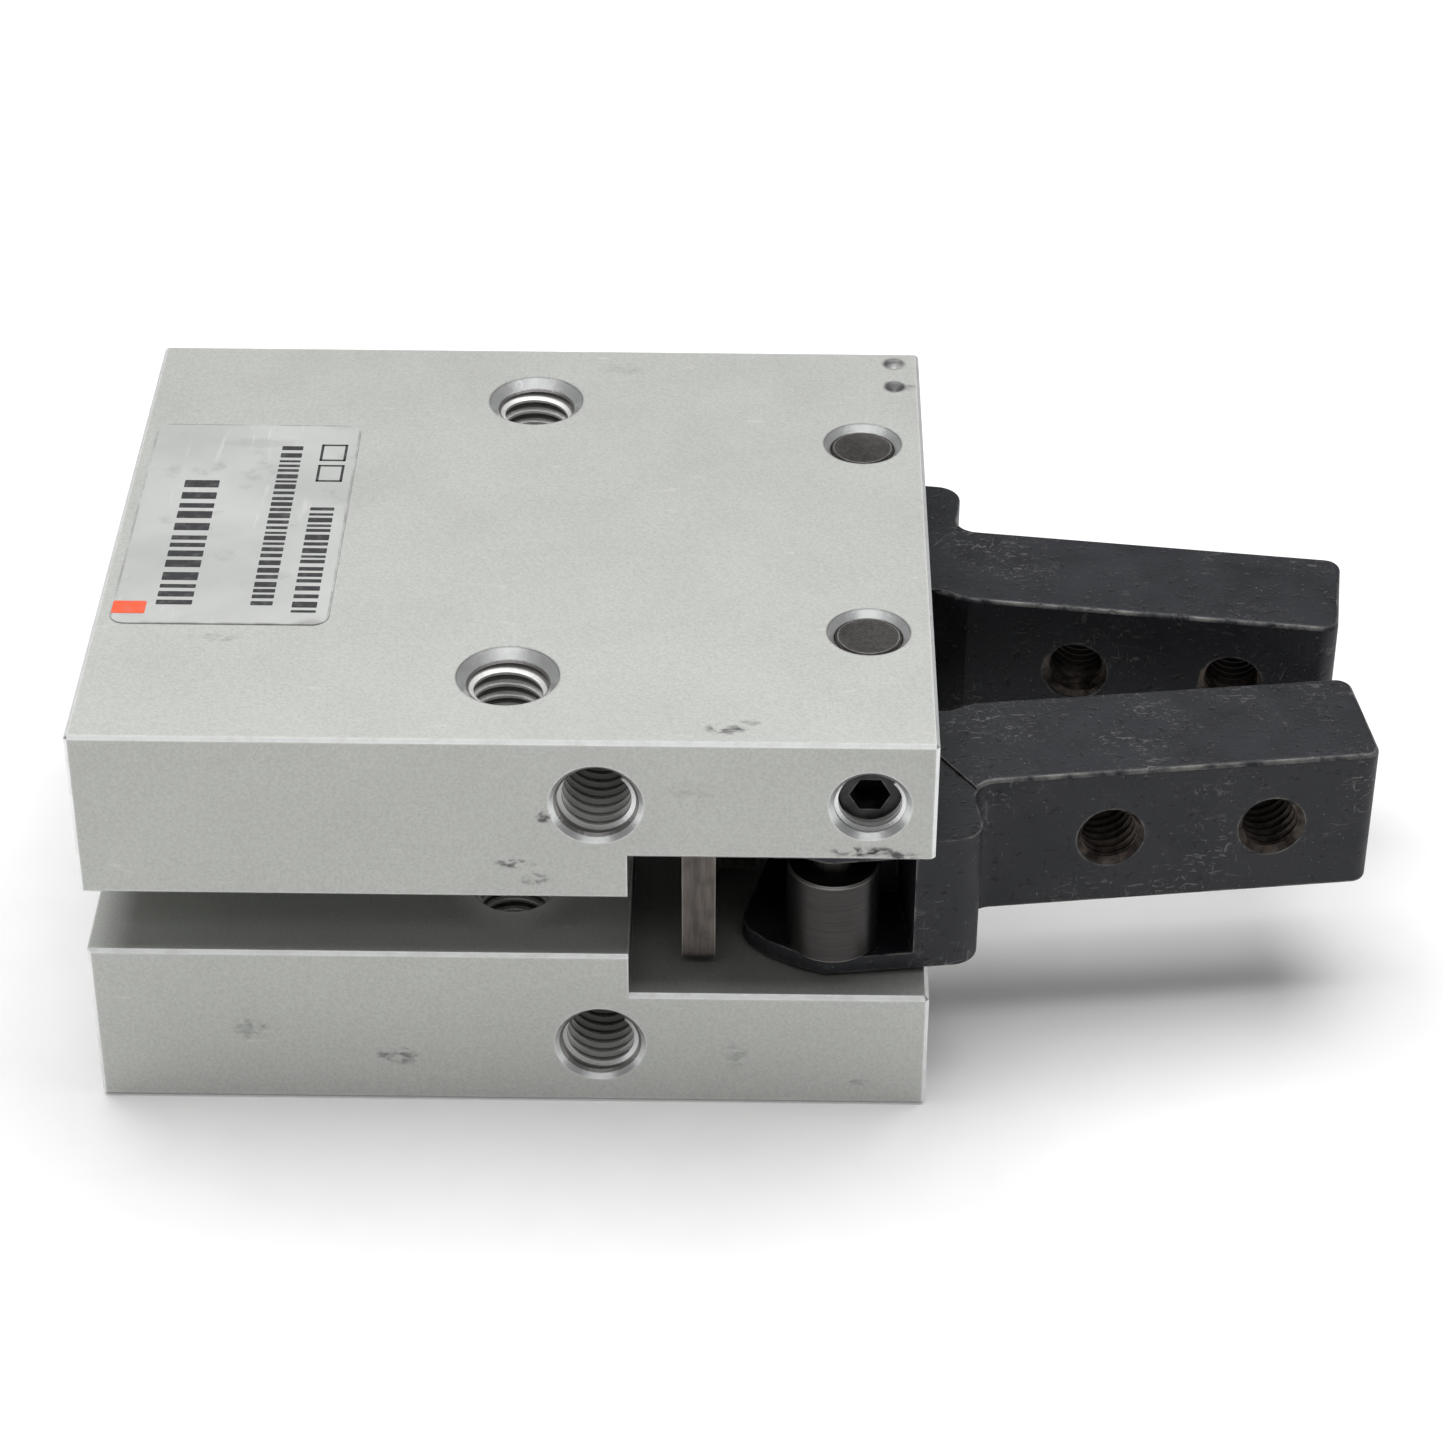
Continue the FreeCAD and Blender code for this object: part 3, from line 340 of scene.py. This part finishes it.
def cavity_shade(surface):
    """A mask for the cut walls of the cavity and grooves, where shade is painted on as a darker tone, in
    patches.
    """
    place = surface.apart(surface.position)
    off_middle = surface.size(surface.minus(place["Z"], AXIS_HEIGHT))
    in_cavity_height = surface.below(off_middle, CAVITY_HALF + MARGIN)
    in_groove_height = surface.below(off_middle, GROOVE_HALF + MARGIN)
    past_wall = surface.above(place["X"], CAVITY_START - MARGIN)
    inboard = surface.below(surface.size(place["Y"]), BODY_HIGH.y - BROKEN_EDGE)
    behind_front = surface.below(place["X"], BODY_HIGH.x - BROKEN_EDGE)
    flat_floor = surface.above(surface.facing()["Z"], 0.7)
    cavity = surface.times(in_cavity_height, past_wall)
    cavity = surface.times(cavity, surface.minus(1.0, surface.times(flat_floor, 0.9)))
    either = surface.math("MAXIMUM", cavity, surface.times(in_groove_height, 0.14))
    inside = surface.times(either, surface.times(inboard, behind_front))
    patch = surface.ramp(surface.noise(160, 5, distortion=0.5), (0.35, 0.7), (0.7, 0.95))
    return surface.times(inside, patch)


def cut_edges(surface):
    """A mask for the chamfers and countersinks at the outer faces, which are freshly cut."""
    place = surface.apart(surface.position)
    facing = surface.facing()
    middle = (BODY_LOW + BODY_HIGH) / 2
    found = 0.0
    for axis, centre, face in zip("XYZ", middle, BODY_HIGH):
        off_centre = surface.size(surface.minus(place[axis], centre))
        near_face = surface.above(off_centre, face - centre - DEEPEST_CHAMFER)
        sloped = surface.between(surface.size(facing[axis]), *SLOPED)
        found = surface.math("MAXIMUM", found, surface.times(near_face, sloped))
    return found


def inside_holes(surface, radius):
    """A mask for what lies within a radius of the axes of the M6 holes, below their countersinks."""
    place = surface.apart(surface.position)
    off_middle = surface.size(surface.minus(place["Z"], AXIS_HEIGHT))
    across = surface.size(place["Y"])

    def around(first, second):
        squares = surface.math("ADD", surface.times(first, first), surface.times(second, second))
        return surface.below(squares, radius ** 2)

    mount = around(place["X"], surface.minus(across, MOUNT_SPREAD / 2))
    mount = surface.times(mount, surface.below(off_middle, BODY_HIGH.z / 2 - MOUNT_COUNTERSINK))
    side = around(surface.minus(place["X"], SIDE_MOUNT_X), surface.minus(off_middle, SIDE_MOUNT_RISE))
    side = surface.times(side, surface.below(across, BODY_HIGH.y - SIDE_COUNTERSINK))
    return surface.math("MAXIMUM", mount, side)


def hole_rims(surface, line):
    """The part of the edge mask that lies round the holes in the top and bottom faces."""
    place = surface.apart(surface.position)
    inner_x = surface.below(surface.size(place["X"]), BODY_HIGH.x - RIM_INSET)
    inner_y = surface.below(surface.size(place["Y"]), BODY_HIGH.y - RIM_INSET)
    off_middle = surface.size(surface.minus(place["Z"], AXIS_HEIGHT))
    outer_z = surface.above(off_middle, BODY_HIGH.z / 2 - MARGIN)
    return surface.times(line, surface.times(surface.times(inner_x, inner_y), outer_z))


def handled_and_shaded(surface, tone, nicked, dimples):
    """The tone with worn outer edges that also carry a painted highlight, painted shade at the hole rims and
    on the hole walls, grey marks, and dirt in the dimples.
    """
    line = surface.edges(0.00026, 0.95, 0.992)
    rims = hole_rims(surface, line)
    # Painted highlight: the pale line along the outer sharp edges stands for light caught on the edges as
    # well as for wear.
    worn = surface.times(surface.minus(line, rims), nicked)
    tone = surface.tint(tone, worn, 0.6, (0.88, 0.89, 0.88))
    # Painted shade: a dark line round the holes in the top and bottom faces.
    tone = surface.tint(tone, rims, 0.75, (0.14, 0.14, 0.14))
    # Painted shade: the walls of the M6 holes are darkened where shade falls.
    tone = surface.tint(tone, inside_holes(surface, M6_WALL), 0.85, (0.12, 0.11, 0.10))
    streaks = surface.mask(surface.noise(1700, 5, stretch=(0.6, 1, 1), distortion=0.6), 0.42, 0.60)
    for centre, reach, strength in SMUDGES:
        mark = surface.times(surface.spot(centre, reach, 0.9), streaks)
        tone = surface.tint(tone, mark, strength, (0.055, 0.055, 0.06))
    tone = surface.tint(tone, dimples, 0.85, (0.06, 0.06, 0.065))
    return surface.mix(surface.spot(BURR, BURR_REACH, 0.2), tone, (0.50, 0.50, 0.49))


def shaded_thread_roots(surface, tone):
    """The tone painted darker in the roots of the M6 threads, as painted shade."""
    roots = surface.minus(inside_holes(surface, M6_WALL), inside_holes(surface, M6_FLANK))
    return surface.tint(tone, roots, 0.75, (0.12, 0.108, 0.098))


def anodised(name, light, dark, is_thread=False):
    """Bead-blasted, matt anodised aluminium with fine grain, faint clouds and bright cut edges."""
    surface = Surface(name, 0.55, 0.5, light)
    grain = surface.noise(5200, 3)
    cloud = surface.noise(55, 5, distortion=0.4)
    tone = surface.mix(surface.mask(cloud, 0.38, 0.68), light, dark)
    tone = surface.mix(surface.mask(grain, 0.35, 0.75), tone, tuple(c * 0.82 for c in light))
    scuff = surface.mask(surface.noise(900, 2, stretch=(0.35, 1.2, 1.2), distortion=0.5), 0.70, 0.76)
    tone = surface.tint(tone, scuff, 0.25, (0.76, 0.76, 0.75))
    # Painted shade: the walls of the cavity and the grooves are darkened where shade falls.
    tone = surface.mix(cavity_shade(surface), tone, (0.15, 0.155, 0.16))
    dimples = surface.math("MAXIMUM", surface.spot(NEAR_DIMPLE, DIMPLE_REACH, 0.25),
                           surface.spot(FAR_DIMPLE, DIMPLE_REACH, 0.25))
    cut = surface.times(cut_edges(surface), surface.minus(1.0, dimples))
    nicked = surface.ramp(surface.noise(800, 3), (0.3, 0.6), (0.55, 0.95))
    tone = surface.tint(tone, cut, nicked, (0.80, 0.81, 0.81))
    surface.colour(shaded_thread_roots(surface, tone) if is_thread else handled_and_shaded(surface, tone, nicked, dimples))
    matt = surface.ramp(surface.noise(130, 4), (0.3, 0.48), (0.7, 0.54))
    surface.roughness(surface.mix(cut, matt, (0.32, 0.32, 0.32)))
    surface.feed(surface.shader.inputs["Metallic"], surface.math("ADD", surface.times(cut, 0.3), 0.55))
    surface.bump(grain, 0.00003, 0.5)
    surface.bump(scuff, 0.00001, 0.3)
    return surface.material


def dark_finger():
    """Black oxided cast steel, lightly pitted and scratched, grey at its rounded edges from wear and from a
    painted highlight.
    """
    surface = Surface("finger_steel", 0.3, 0.55, (0.013, 0.0139, 0.0178))
    grain = surface.noise(2600, 5)
    patch = surface.noise(190, 6, distortion=0.6)
    tone = surface.mix(surface.mask(patch, 0.35, 0.7), (0.0115, 0.0123, 0.0162), (0.019, 0.0203, 0.0252))
    pits = surface.mask(surface.noise(1500, 2), 0.62, 0.72)
    tone = surface.tint(tone, pits, 0.8, (0.007, 0.007, 0.008))
    specks = surface.mask(surface.noise(3600, 3), 0.67, 0.74)
    tone = surface.tint(tone, specks, 0.45, (0.24, 0.235, 0.23))
    area = surface.mask(surface.noise(150, 3, distortion=0.5), 0.50, 0.64)
    along = surface.mask(surface.noise(1900, 3, stretch=(0.35, 1, 1), distortion=1.6), 0.60, 0.66)
    upright = surface.mask(surface.noise(1900, 3, stretch=(1, 1, 0.35), distortion=1.6), 0.61, 0.67)
    scratches = surface.times(surface.math("MAXIMUM", along, upright), area)
    tone = surface.tint(tone, scratches, 0.4, (0.22, 0.215, 0.21))
    # Painted highlight with wear: the rounded faces between top and sides, picked out by their direction, and
    # the sharp edges are lightened.
    rounded = surface.between(surface.size(surface.facing()["Z"]), *SLOPED)
    fillet_rub_and_highlight = surface.times(rounded, surface.mask(surface.noise(520, 5, distortion=0.4), 0.42, 0.66))
    tone = surface.tint(tone, fillet_rub_and_highlight, 0.65, (0.24, 0.235, 0.225))
    edge_wear_and_highlight = surface.times(surface.edges(0.0004), surface.mask(surface.noise(700, 5), 0.40, 0.62))
    surface.colour(surface.tint(tone, edge_wear_and_highlight, 0.7, (0.32, 0.31, 0.29)))
    surface.roughness(surface.ramp(patch, (0.3, 0.42), (0.7, 0.62)))
    surface.bump(grain, 0.00006, 0.5)
    surface.bump(pits, -0.00008, 0.6)
    surface.bump(surface.noise(420, 3), 0.00012, 0.35)
    return surface.material


def turned_steel(name, colour, rings, roughness=(0.28, 0.45), worn=0.0, marks=0.28, bevel=None):
    """Ground or turned metal whose fine marks run along the axes with a small value in rings; sloped faces
    may take a painted tone, and sharp edges a pale line of wear and painted highlight.
    """
    surface = Surface(name, 0.9, 0.32, colour)
    lines = surface.noise(4200, 4, stretch=rings)
    patch = surface.noise(260, 5)
    darker = tuple(c * (1 - marks) for c in colour)
    lighter = tuple(min(1, c * (1 + marks * 0.7)) for c in colour)
    tone = surface.mix(surface.mask(lines, 0.35, 0.65), darker, lighter)
    tone = surface.tint(tone, surface.mask(patch, 0.45, 0.7), 0.5, darker)
    # Painted light: the bevel colour replaces the tone on sloped faces. It is darker, as painted shade, on
    # the pins and lighter, as a painted highlight, on the rollers.
    if bevel:
        tone = surface.mix(surface.between(surface.size(surface.facing()["Z"]), 0.3, 0.9), tone, bevel)
    # The worn edges are lightened for wear and as a painted highlight.
    if worn:
        tone = surface.tint(tone, surface.edges(0.00016, 0.93, 0.99), worn, (0.62, 0.60, 0.57))
    surface.colour(tone)
    surface.roughness(surface.ramp(patch, (0.3, roughness[0]), (0.7, roughness[1])))
    surface.bump(lines, 0.000008, 0.6)
    return surface.material


def crosshead_steel():
    """Brownish worn plate, with a painted highlight along its edges and a fine pale shear line along the
    middle of its edge.
    """
    low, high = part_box("crosshead")
    surface = Surface("crosshead_steel", 0.8, 0.42, (0.115, 0.100, 0.088))
    lines = surface.noise(3200, 4, stretch=(0.8, 0.8, 0.08))
    patch = surface.noise(420, 5, distortion=0.4)
    tone = surface.mix(surface.mask(lines, 0.35, 0.65), (0.085, 0.075, 0.068), (0.140, 0.122, 0.108))
    tone = surface.tint(tone, surface.mask(patch, 0.5, 0.7), 0.5, (0.055, 0.050, 0.046))
    from_back = surface.minus(surface.apart(surface.position)["X"], low.x)
    across = surface.math("DIVIDE", from_back, high.x - low.x)
    wander = surface.math("ADD", across, surface.times(surface.noise(900, 2), 0.16))
    tone = surface.tint(tone, surface.between(wander, 0.555, 0.59), 0.6, (0.24, 0.225, 0.21))
    # Painted highlight: the plate's sharp edges are lightened.
    surface.colour(surface.tint(tone, surface.edges(0.0003), 0.6, (0.40, 0.37, 0.34)))
    surface.roughness(surface.ramp(patch, (0.3, 0.34), (0.7, 0.52)))
    surface.bump(lines, 0.00001, 0.6)
    return surface.material


def oiled_thread():
    """Bare steel thread, brown with old oil."""
    surface = Surface("jaw_thread", 0.6, 0.4, (0.07, 0.055, 0.045))
    patch = surface.noise(1100, 4)
    surface.colour(surface.mix(surface.mask(patch, 0.4, 0.65), (0.030, 0.024, 0.021), (0.12, 0.095, 0.078)))
    surface.roughness(surface.ramp(patch, (0.3, 0.32), (0.7, 0.5)))
    return surface.material


def black_oxide():
    """Blackened steel of the set screws, with grey edges."""
    surface = Surface("screw_steel", 0.5, 0.4, (0.018, 0.018, 0.02))
    patch = surface.noise(900, 4)
    tone = surface.mix(surface.mask(patch, 0.4, 0.7), (0.012, 0.012, 0.014), (0.05, 0.048, 0.046))
    worn = surface.times(surface.edges(0.0002), surface.mask(patch, 0.3, 0.6))
    surface.colour(surface.tint(tone, worn, 0.7, (0.3, 0.29, 0.28)))
    surface.roughness(surface.ramp(patch, (0.3, 0.3), (0.7, 0.5)))
    surface.bump(surface.noise(3500, 3), 0.00002, 0.5)
    return surface.material


def soft_polymer(name, colour, roughness):
    """Rubber or moulded plastic, slightly dusty."""
    surface = Surface(name, 0, roughness, colour)
    patch = surface.noise(500, 4)
    surface.colour(surface.mix(surface.mask(patch, 0.35, 0.7), colour, tuple(c * 1.6 + 0.01 for c in colour)))
    surface.roughness(surface.ramp(patch, (0.3, roughness - 0.1), (0.7, roughness)))
    surface.bump(surface.noise(4000, 2), 0.00002, 0.4)
    return surface.material


def label_film():
    """Silver-grey printed film, slightly scuffed and dulled."""
    surface = Surface("label_film", 0.2, 0.45, (0.52, 0.53, 0.51))
    cloud = surface.noise(120, 5, distortion=0.5)
    tone = surface.mix(surface.mask(cloud, 0.35, 0.7), (0.515, 0.527, 0.515), (0.56, 0.57, 0.555))
    scuff = surface.mask(surface.noise(800, 3, stretch=(1.5, 0.15, 1)), 0.66, 0.72)
    tone = surface.tint(tone, scuff, 0.4, (0.75, 0.75, 0.74))
    dirt = surface.mask(surface.noise(420, 6), 0.60, 0.76)
    tone = surface.tint(tone, dirt, 0.4, (0.25, 0.25, 0.24))
    place = surface.apart(surface.position)
    rim = 0.0
    for axis, near, far in zip("XY", LABEL_LOW, LABEL_HIGH):
        off_middle = surface.size(surface.minus(place[axis], (near + far) / 2))
        inset = surface.minus((far - near) / 2, off_middle)
        rim = surface.math("MAXIMUM", rim, surface.below(inset, 0.16 * MM))
    tone = surface.tint(tone, rim, surface.mask(surface.noise(500, 4), 0.35, 0.6), (0.36, 0.36, 0.35))
    for centre, reach, strength in LABEL_MARKS:
        tone = surface.tint(tone, surface.spot(centre, reach, 1.1, 900), strength, (0.20, 0.20, 0.20))
    surface.colour(tone)
    surface.roughness(surface.ramp(cloud, (0.3, 0.34), (0.7, 0.5)))
    surface.bump(surface.noise(2500, 3), 0.00002, 0.3)
    return surface.material


def print_ink(name, colour):
    """Printed ink, worn paler in fine patches."""
    surface = Surface(name, 0, 0.5, colour)
    patch = surface.noise(1500, 4)
    surface.colour(surface.mix(surface.mask(patch, 0.5, 0.8), colour, tuple(c * 0.7 + 0.08 for c in colour)))
    surface.bump(patch, 0.00001, 0.3)
    return surface.material


# ---------------------------------------------------------------- pieces
def add_piece(name, shape, material, body):
    mesh = bpy.data.meshes.new(name)
    bmesh.ops.recalc_face_normals(shape, faces=shape.faces[:])
    shape.to_mesh(mesh)
    shape.free()
    mesh.materials.append(material)
    piece = bpy.data.objects.new(name, mesh)
    bpy.context.scene.collection.objects.link(piece)
    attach(piece, body)


def sweep(shape, rows):
    """Join each row of points to the next one, all the way round."""
    for low, high in zip(rows, rows[1:]):
        for corner in range(len(low)):
            after = (corner + 1) % len(low)
            shape.faces.new((low[corner], low[after], high[after], high[corner]))


def thread(name, start, direction, length, radius, pitch, mouth, material, body):
    """An internal thread: a bevelled mouth and one closed helical ridge below it."""
    height = RIDGE_HEIGHT * pitch
    root = radius + THREAD_ROOT
    direction = Vector(direction).normalized()
    across = direction.orthogonal().normalized()
    other = direction.cross(across)
    shape = bmesh.new()

    if mouth:
        profile = (
            (root, 0),
            (radius - (height - MOUTH_STEP) * mouth, height * mouth),
            (root, (height + MOUTH_BACK * pitch) * mouth),
        )
        rows = []
        for step in range(THREAD_STEPS):
            angle = 2 * math.pi * step / THREAD_STEPS
            radial = across * math.cos(angle) + other * math.sin(angle)
            rows.append([shape.verts.new(start + radial * reach + direction * along)
                         for reach, along in profile])
        sweep(shape, rows + rows[:1])

    first = RIDGE_START + RIDGE_MOUTH_SHIFT * mouth
    turns = length / pitch - first - RIDGE_END
    count = int(turns * THREAD_STEPS)
    rows = []
    for step in range(count + 1):
        share = step / count
        angle = 2 * math.pi * turns * share
        crest = radius - height * min(1, (1 - share) * turns * FADE_RATE + FADE_LEAST)
        radial = across * math.cos(angle) + other * math.sin(angle)
        middle = start + direction * (pitch * (first + turns * share))
        section = ((root, -RIDGE_FOOT), (crest, -RIDGE_CREST), (crest, RIDGE_CREST), (root, RIDGE_FOOT))
        rows.append([shape.verts.new(middle + radial * reach + direction * (along * pitch))
                     for reach, along in section])
    sweep(shape, rows)
    shape.faces.new(rows[0][::-1])
    shape.faces.new(rows[-1])
    add_piece(name, shape, material, body)


def make_threads(bare_metal, oiled_metal):
    """The threads of the mount, side, set screw, port and finger holes."""
    def housing_thread(name, start, direction, length, mouth, radius=M6_RADIUS, pitch=M6_PITCH):
        thread(name, start, direction, length, radius, pitch, mouth, bare_metal, "housing")

    for side, outward in (("right", -1), ("left", 1)):
        y = outward * MOUNT_SPREAD / 2
        top = Vector((0, y, BODY_HIGH.z - MOUNT_INSET))
        bottom = Vector((0, y, BODY_LOW.z + MOUNT_INSET))
        housing_thread(f"{side}_mount_thread_upper", top, (0, 0, -1),
                       top.z - (AXIS_HEIGHT + GROOVE_HALF), MOUNT_MOUTH)
        housing_thread(f"{side}_mount_thread_lower", bottom, (0, 0, 1),
                       AXIS_HEIGHT - GROOVE_HALF - bottom.z, MOUNT_MOUTH)
        wall = outward * BODY_HIGH.y
        inward = (0, -outward, 0)
        for level, rise in (("upper", SIDE_MOUNT_RISE), ("lower", -SIDE_MOUNT_RISE)):
            start = Vector((SIDE_MOUNT_X, wall - outward * SIDE_INSET, AXIS_HEIGHT + rise))
            housing_thread(f"{side}_side_thread_{level}", start, inward, SIDE_THREAD_LENGTH, SIDE_MOUTH)
        start = Vector((PIVOT.x, wall - outward * SCREW_INSET, SCREW_HEIGHT))
        housing_thread(f"{side}_screw_thread", start, inward, SCREW_THREAD_LENGTH, NO_MOUTH,
                       M5_RADIUS, SCREW_PITCH)
    for name, x in zip(("open", "close"), PORT_PLACES):
        start = Vector((x, BODY_HIGH.y - SIDE_INSET, PORT_HEIGHT))
        housing_thread(f"{name}_port_thread", start, (0, -1, 0), PORT_THREAD_LENGTH, FULL_MOUTH,
                       M5_RADIUS, M5_PITCH)
    for side, outward in (("right", -1), ("left", 1)):
        turn = Matrix.Rotation(-outward * CLOSED_ANGLE, 3, "Z")
        pivot = Vector((PIVOT.x, outward * PIVOT.y, PIVOT.z))
        inward = turn @ Vector((0, -outward, 0))
        for place, along in zip(("rear", "front"), JAW_HOLES):
            start = pivot + turn @ Vector((along, outward * (ARM_HALF_WIDTH - JAW_INSET), 0))
            thread(f"{side}_jaw_thread_{place}", start, inward, 2 * ARM_HALF_WIDTH - 2 * JAW_INSET,
                   M5_RADIUS, M5_PITCH, FULL_MOUTH, oiled_metal, f"{side}_jaw")


def flat_patch(name, low, high, corner, material):
    """A thin printed patch with rounded corners, lying on the label."""
    z = LABEL_HIGH.z
    shape = bmesh.new()
    ring = []
    centres = ((high[0] - corner, high[1] - corner), (low[0] + corner, high[1] - corner),
               (low[0] + corner, low[1] + corner), (high[0] - corner, low[1] + corner))
    for quarter, (x, y) in enumerate(centres):
        for step in range(CORNER_STEPS + 1):
            angle = math.pi / 2 * (quarter + step / CORNER_STEPS)
            ring.append((x + corner * math.cos(angle), y + corner * math.sin(angle)))
    lower = [shape.verts.new((x, y, z)) for x, y in ring]
    upper = [shape.verts.new((x, y, z + INK)) for x, y in ring]
    shape.faces.new(upper)
    shape.faces.new(lower[::-1])
    sweep(shape, (lower, upper))
    add_piece(name, shape, material, "housing")


def make_label_print():
    """An orange corner mark, three rows of plain bars and two small frames; no lettering."""
    orange = print_ink("orange_ink", (0.85, 0.11, 0.04))
    dark = print_ink("dark_ink", (0.025, 0.025, 0.028))
    low = (LABEL_LOW.x + CORNER_MARK[0] * MM, LABEL_LOW.y + CORNER_MARK[1] * MM)
    high = (low[0] + CORNER_MARK_SIZE[0] * MM, low[1] + CORNER_MARK_SIZE[1] * MM)
    flat_patch("label_corner_mark", low, high, MARK_CORNER, orange)
    rule = random.Random(4)
    for row, (offset, height, start, stop) in enumerate(BAR_ROWS):
        x = LABEL_LOW.x + offset * MM
        y = LABEL_LOW.y + start * MM
        bar = 0
        while y < LABEL_LOW.y + stop * MM:
            width = rule.uniform(*BAR_WIDTHS) * height * MM
            flat_patch(f"label_bar_{row}_{bar}", (x, y), (x + height * MM, y + width), BAR_CORNER, dark)
            y += width + rule.uniform(*BAR_GAPS) * height * MM
            bar += 1
    for place, start in enumerate(FRAME_STARTS):
        x_low, x_high = (LABEL_LOW.x + x * MM for x in FRAME_X)
        y_low, y_high = LABEL_LOW.y + start * MM, LABEL_LOW.y + (start + FRAME_LENGTH) * MM
        sides = (
            ((x_low, y_low), (x_high, y_low + FRAME_LINE)),
            ((x_low, y_high - FRAME_LINE), (x_high, y_high)),
            ((x_low, y_low), (x_low + FRAME_LINE, y_high)),
            ((x_high - FRAME_LINE, y_low), (x_high, y_high)),
        )
        for side, (near, far) in enumerate(sides):
            flat_patch(f"label_frame_{place}_{side}", near, far, FRAME_CORNER, dark)


# ---------------------------------------------------------------- finish of each part
def dress_nodes():
    """Give every part of the gripper its surface."""
    # The pins' bevel colour is painted shade, and their pale edges are partly a painted highlight.
    pin = turned_steel("pin_steel", (0.125, 0.120, 0.113), rings=(1, 1, 0.05), worn=0.8,
                       bevel=(0.05, 0.047, 0.044))
    rod = turned_steel("rod_steel", (0.62, 0.62, 0.62), rings=(1, 0.05, 0.05), roughness=(0.12, 0.25))
    bumper = soft_polymer("bumper_rubber", (0.35, 0.22, 0.08), 0.6)
    finish = {
        "body": anodised("anodised_body", (0.57, 0.58, 0.552), (0.562, 0.572, 0.545)),
        "rear_cap": turned_steel("cap_aluminium", (0.55, 0.56, 0.55), rings=(1, 0.3, 0.3), marks=0.1),
        "retaining_ring": turned_steel("ring_steel", (0.12, 0.12, 0.13), rings=(1, 1, 1)),
        "rear_piston": turned_steel("piston_aluminium", (0.66, 0.66, 0.66), rings=(1, 0.05, 0.05)),
        "front_piston": rod,
        "piston_rod": rod,
        "rod_nut": pin,
        "centre_pin": pin,
        "crosshead": crosshead_steel(),
        "magnet_ring": soft_polymer("magnet", (0.05, 0.05, 0.05), 0.6),
        "label": label_film(),
        "rear_bumper": bumper,
        "front_bumper": bumper,
    }
    finger = dark_finger()
    # The rollers' bevel colour is a painted highlight, and their pale edges are partly one too.
    roller = turned_steel("roller_steel", (0.050, 0.047, 0.046), rings=(0.05, 0.05, 1.8), worn=0.5,
                          marks=0.14, bevel=(0.20, 0.19, 0.18))
    screw = black_oxide()
    for side in ("right", "left"):
        finish[f"{side}_finger"] = finger
        finish[f"{side}_roller"] = roller
        finish[f"{side}_roller_pin"] = pin
        finish[f"{side}_pivot_pin"] = pin
        finish[f"{side}_set_screw"] = screw
    rubber = soft_polymer("seal_rubber", (0.02, 0.02, 0.02), 0.7)
    for name in ("cap_seal", "rod_seal", "rear_piston_seal", "front_piston_seal", "inner_rod_seal"):
        finish[name] = rubber
    for name, node in NODES.items():
        for slot in node.material_slots:
            slot.material = finish[name]


bpy.context.scene.view_settings.view_transform = "Standard"
make_camera()
make_studio()
dress_nodes()
make_threads(anodised("thread_metal", (0.78, 0.78, 0.77), (0.66, 0.66, 0.64), is_thread=True), oiled_thread())
make_label_print()
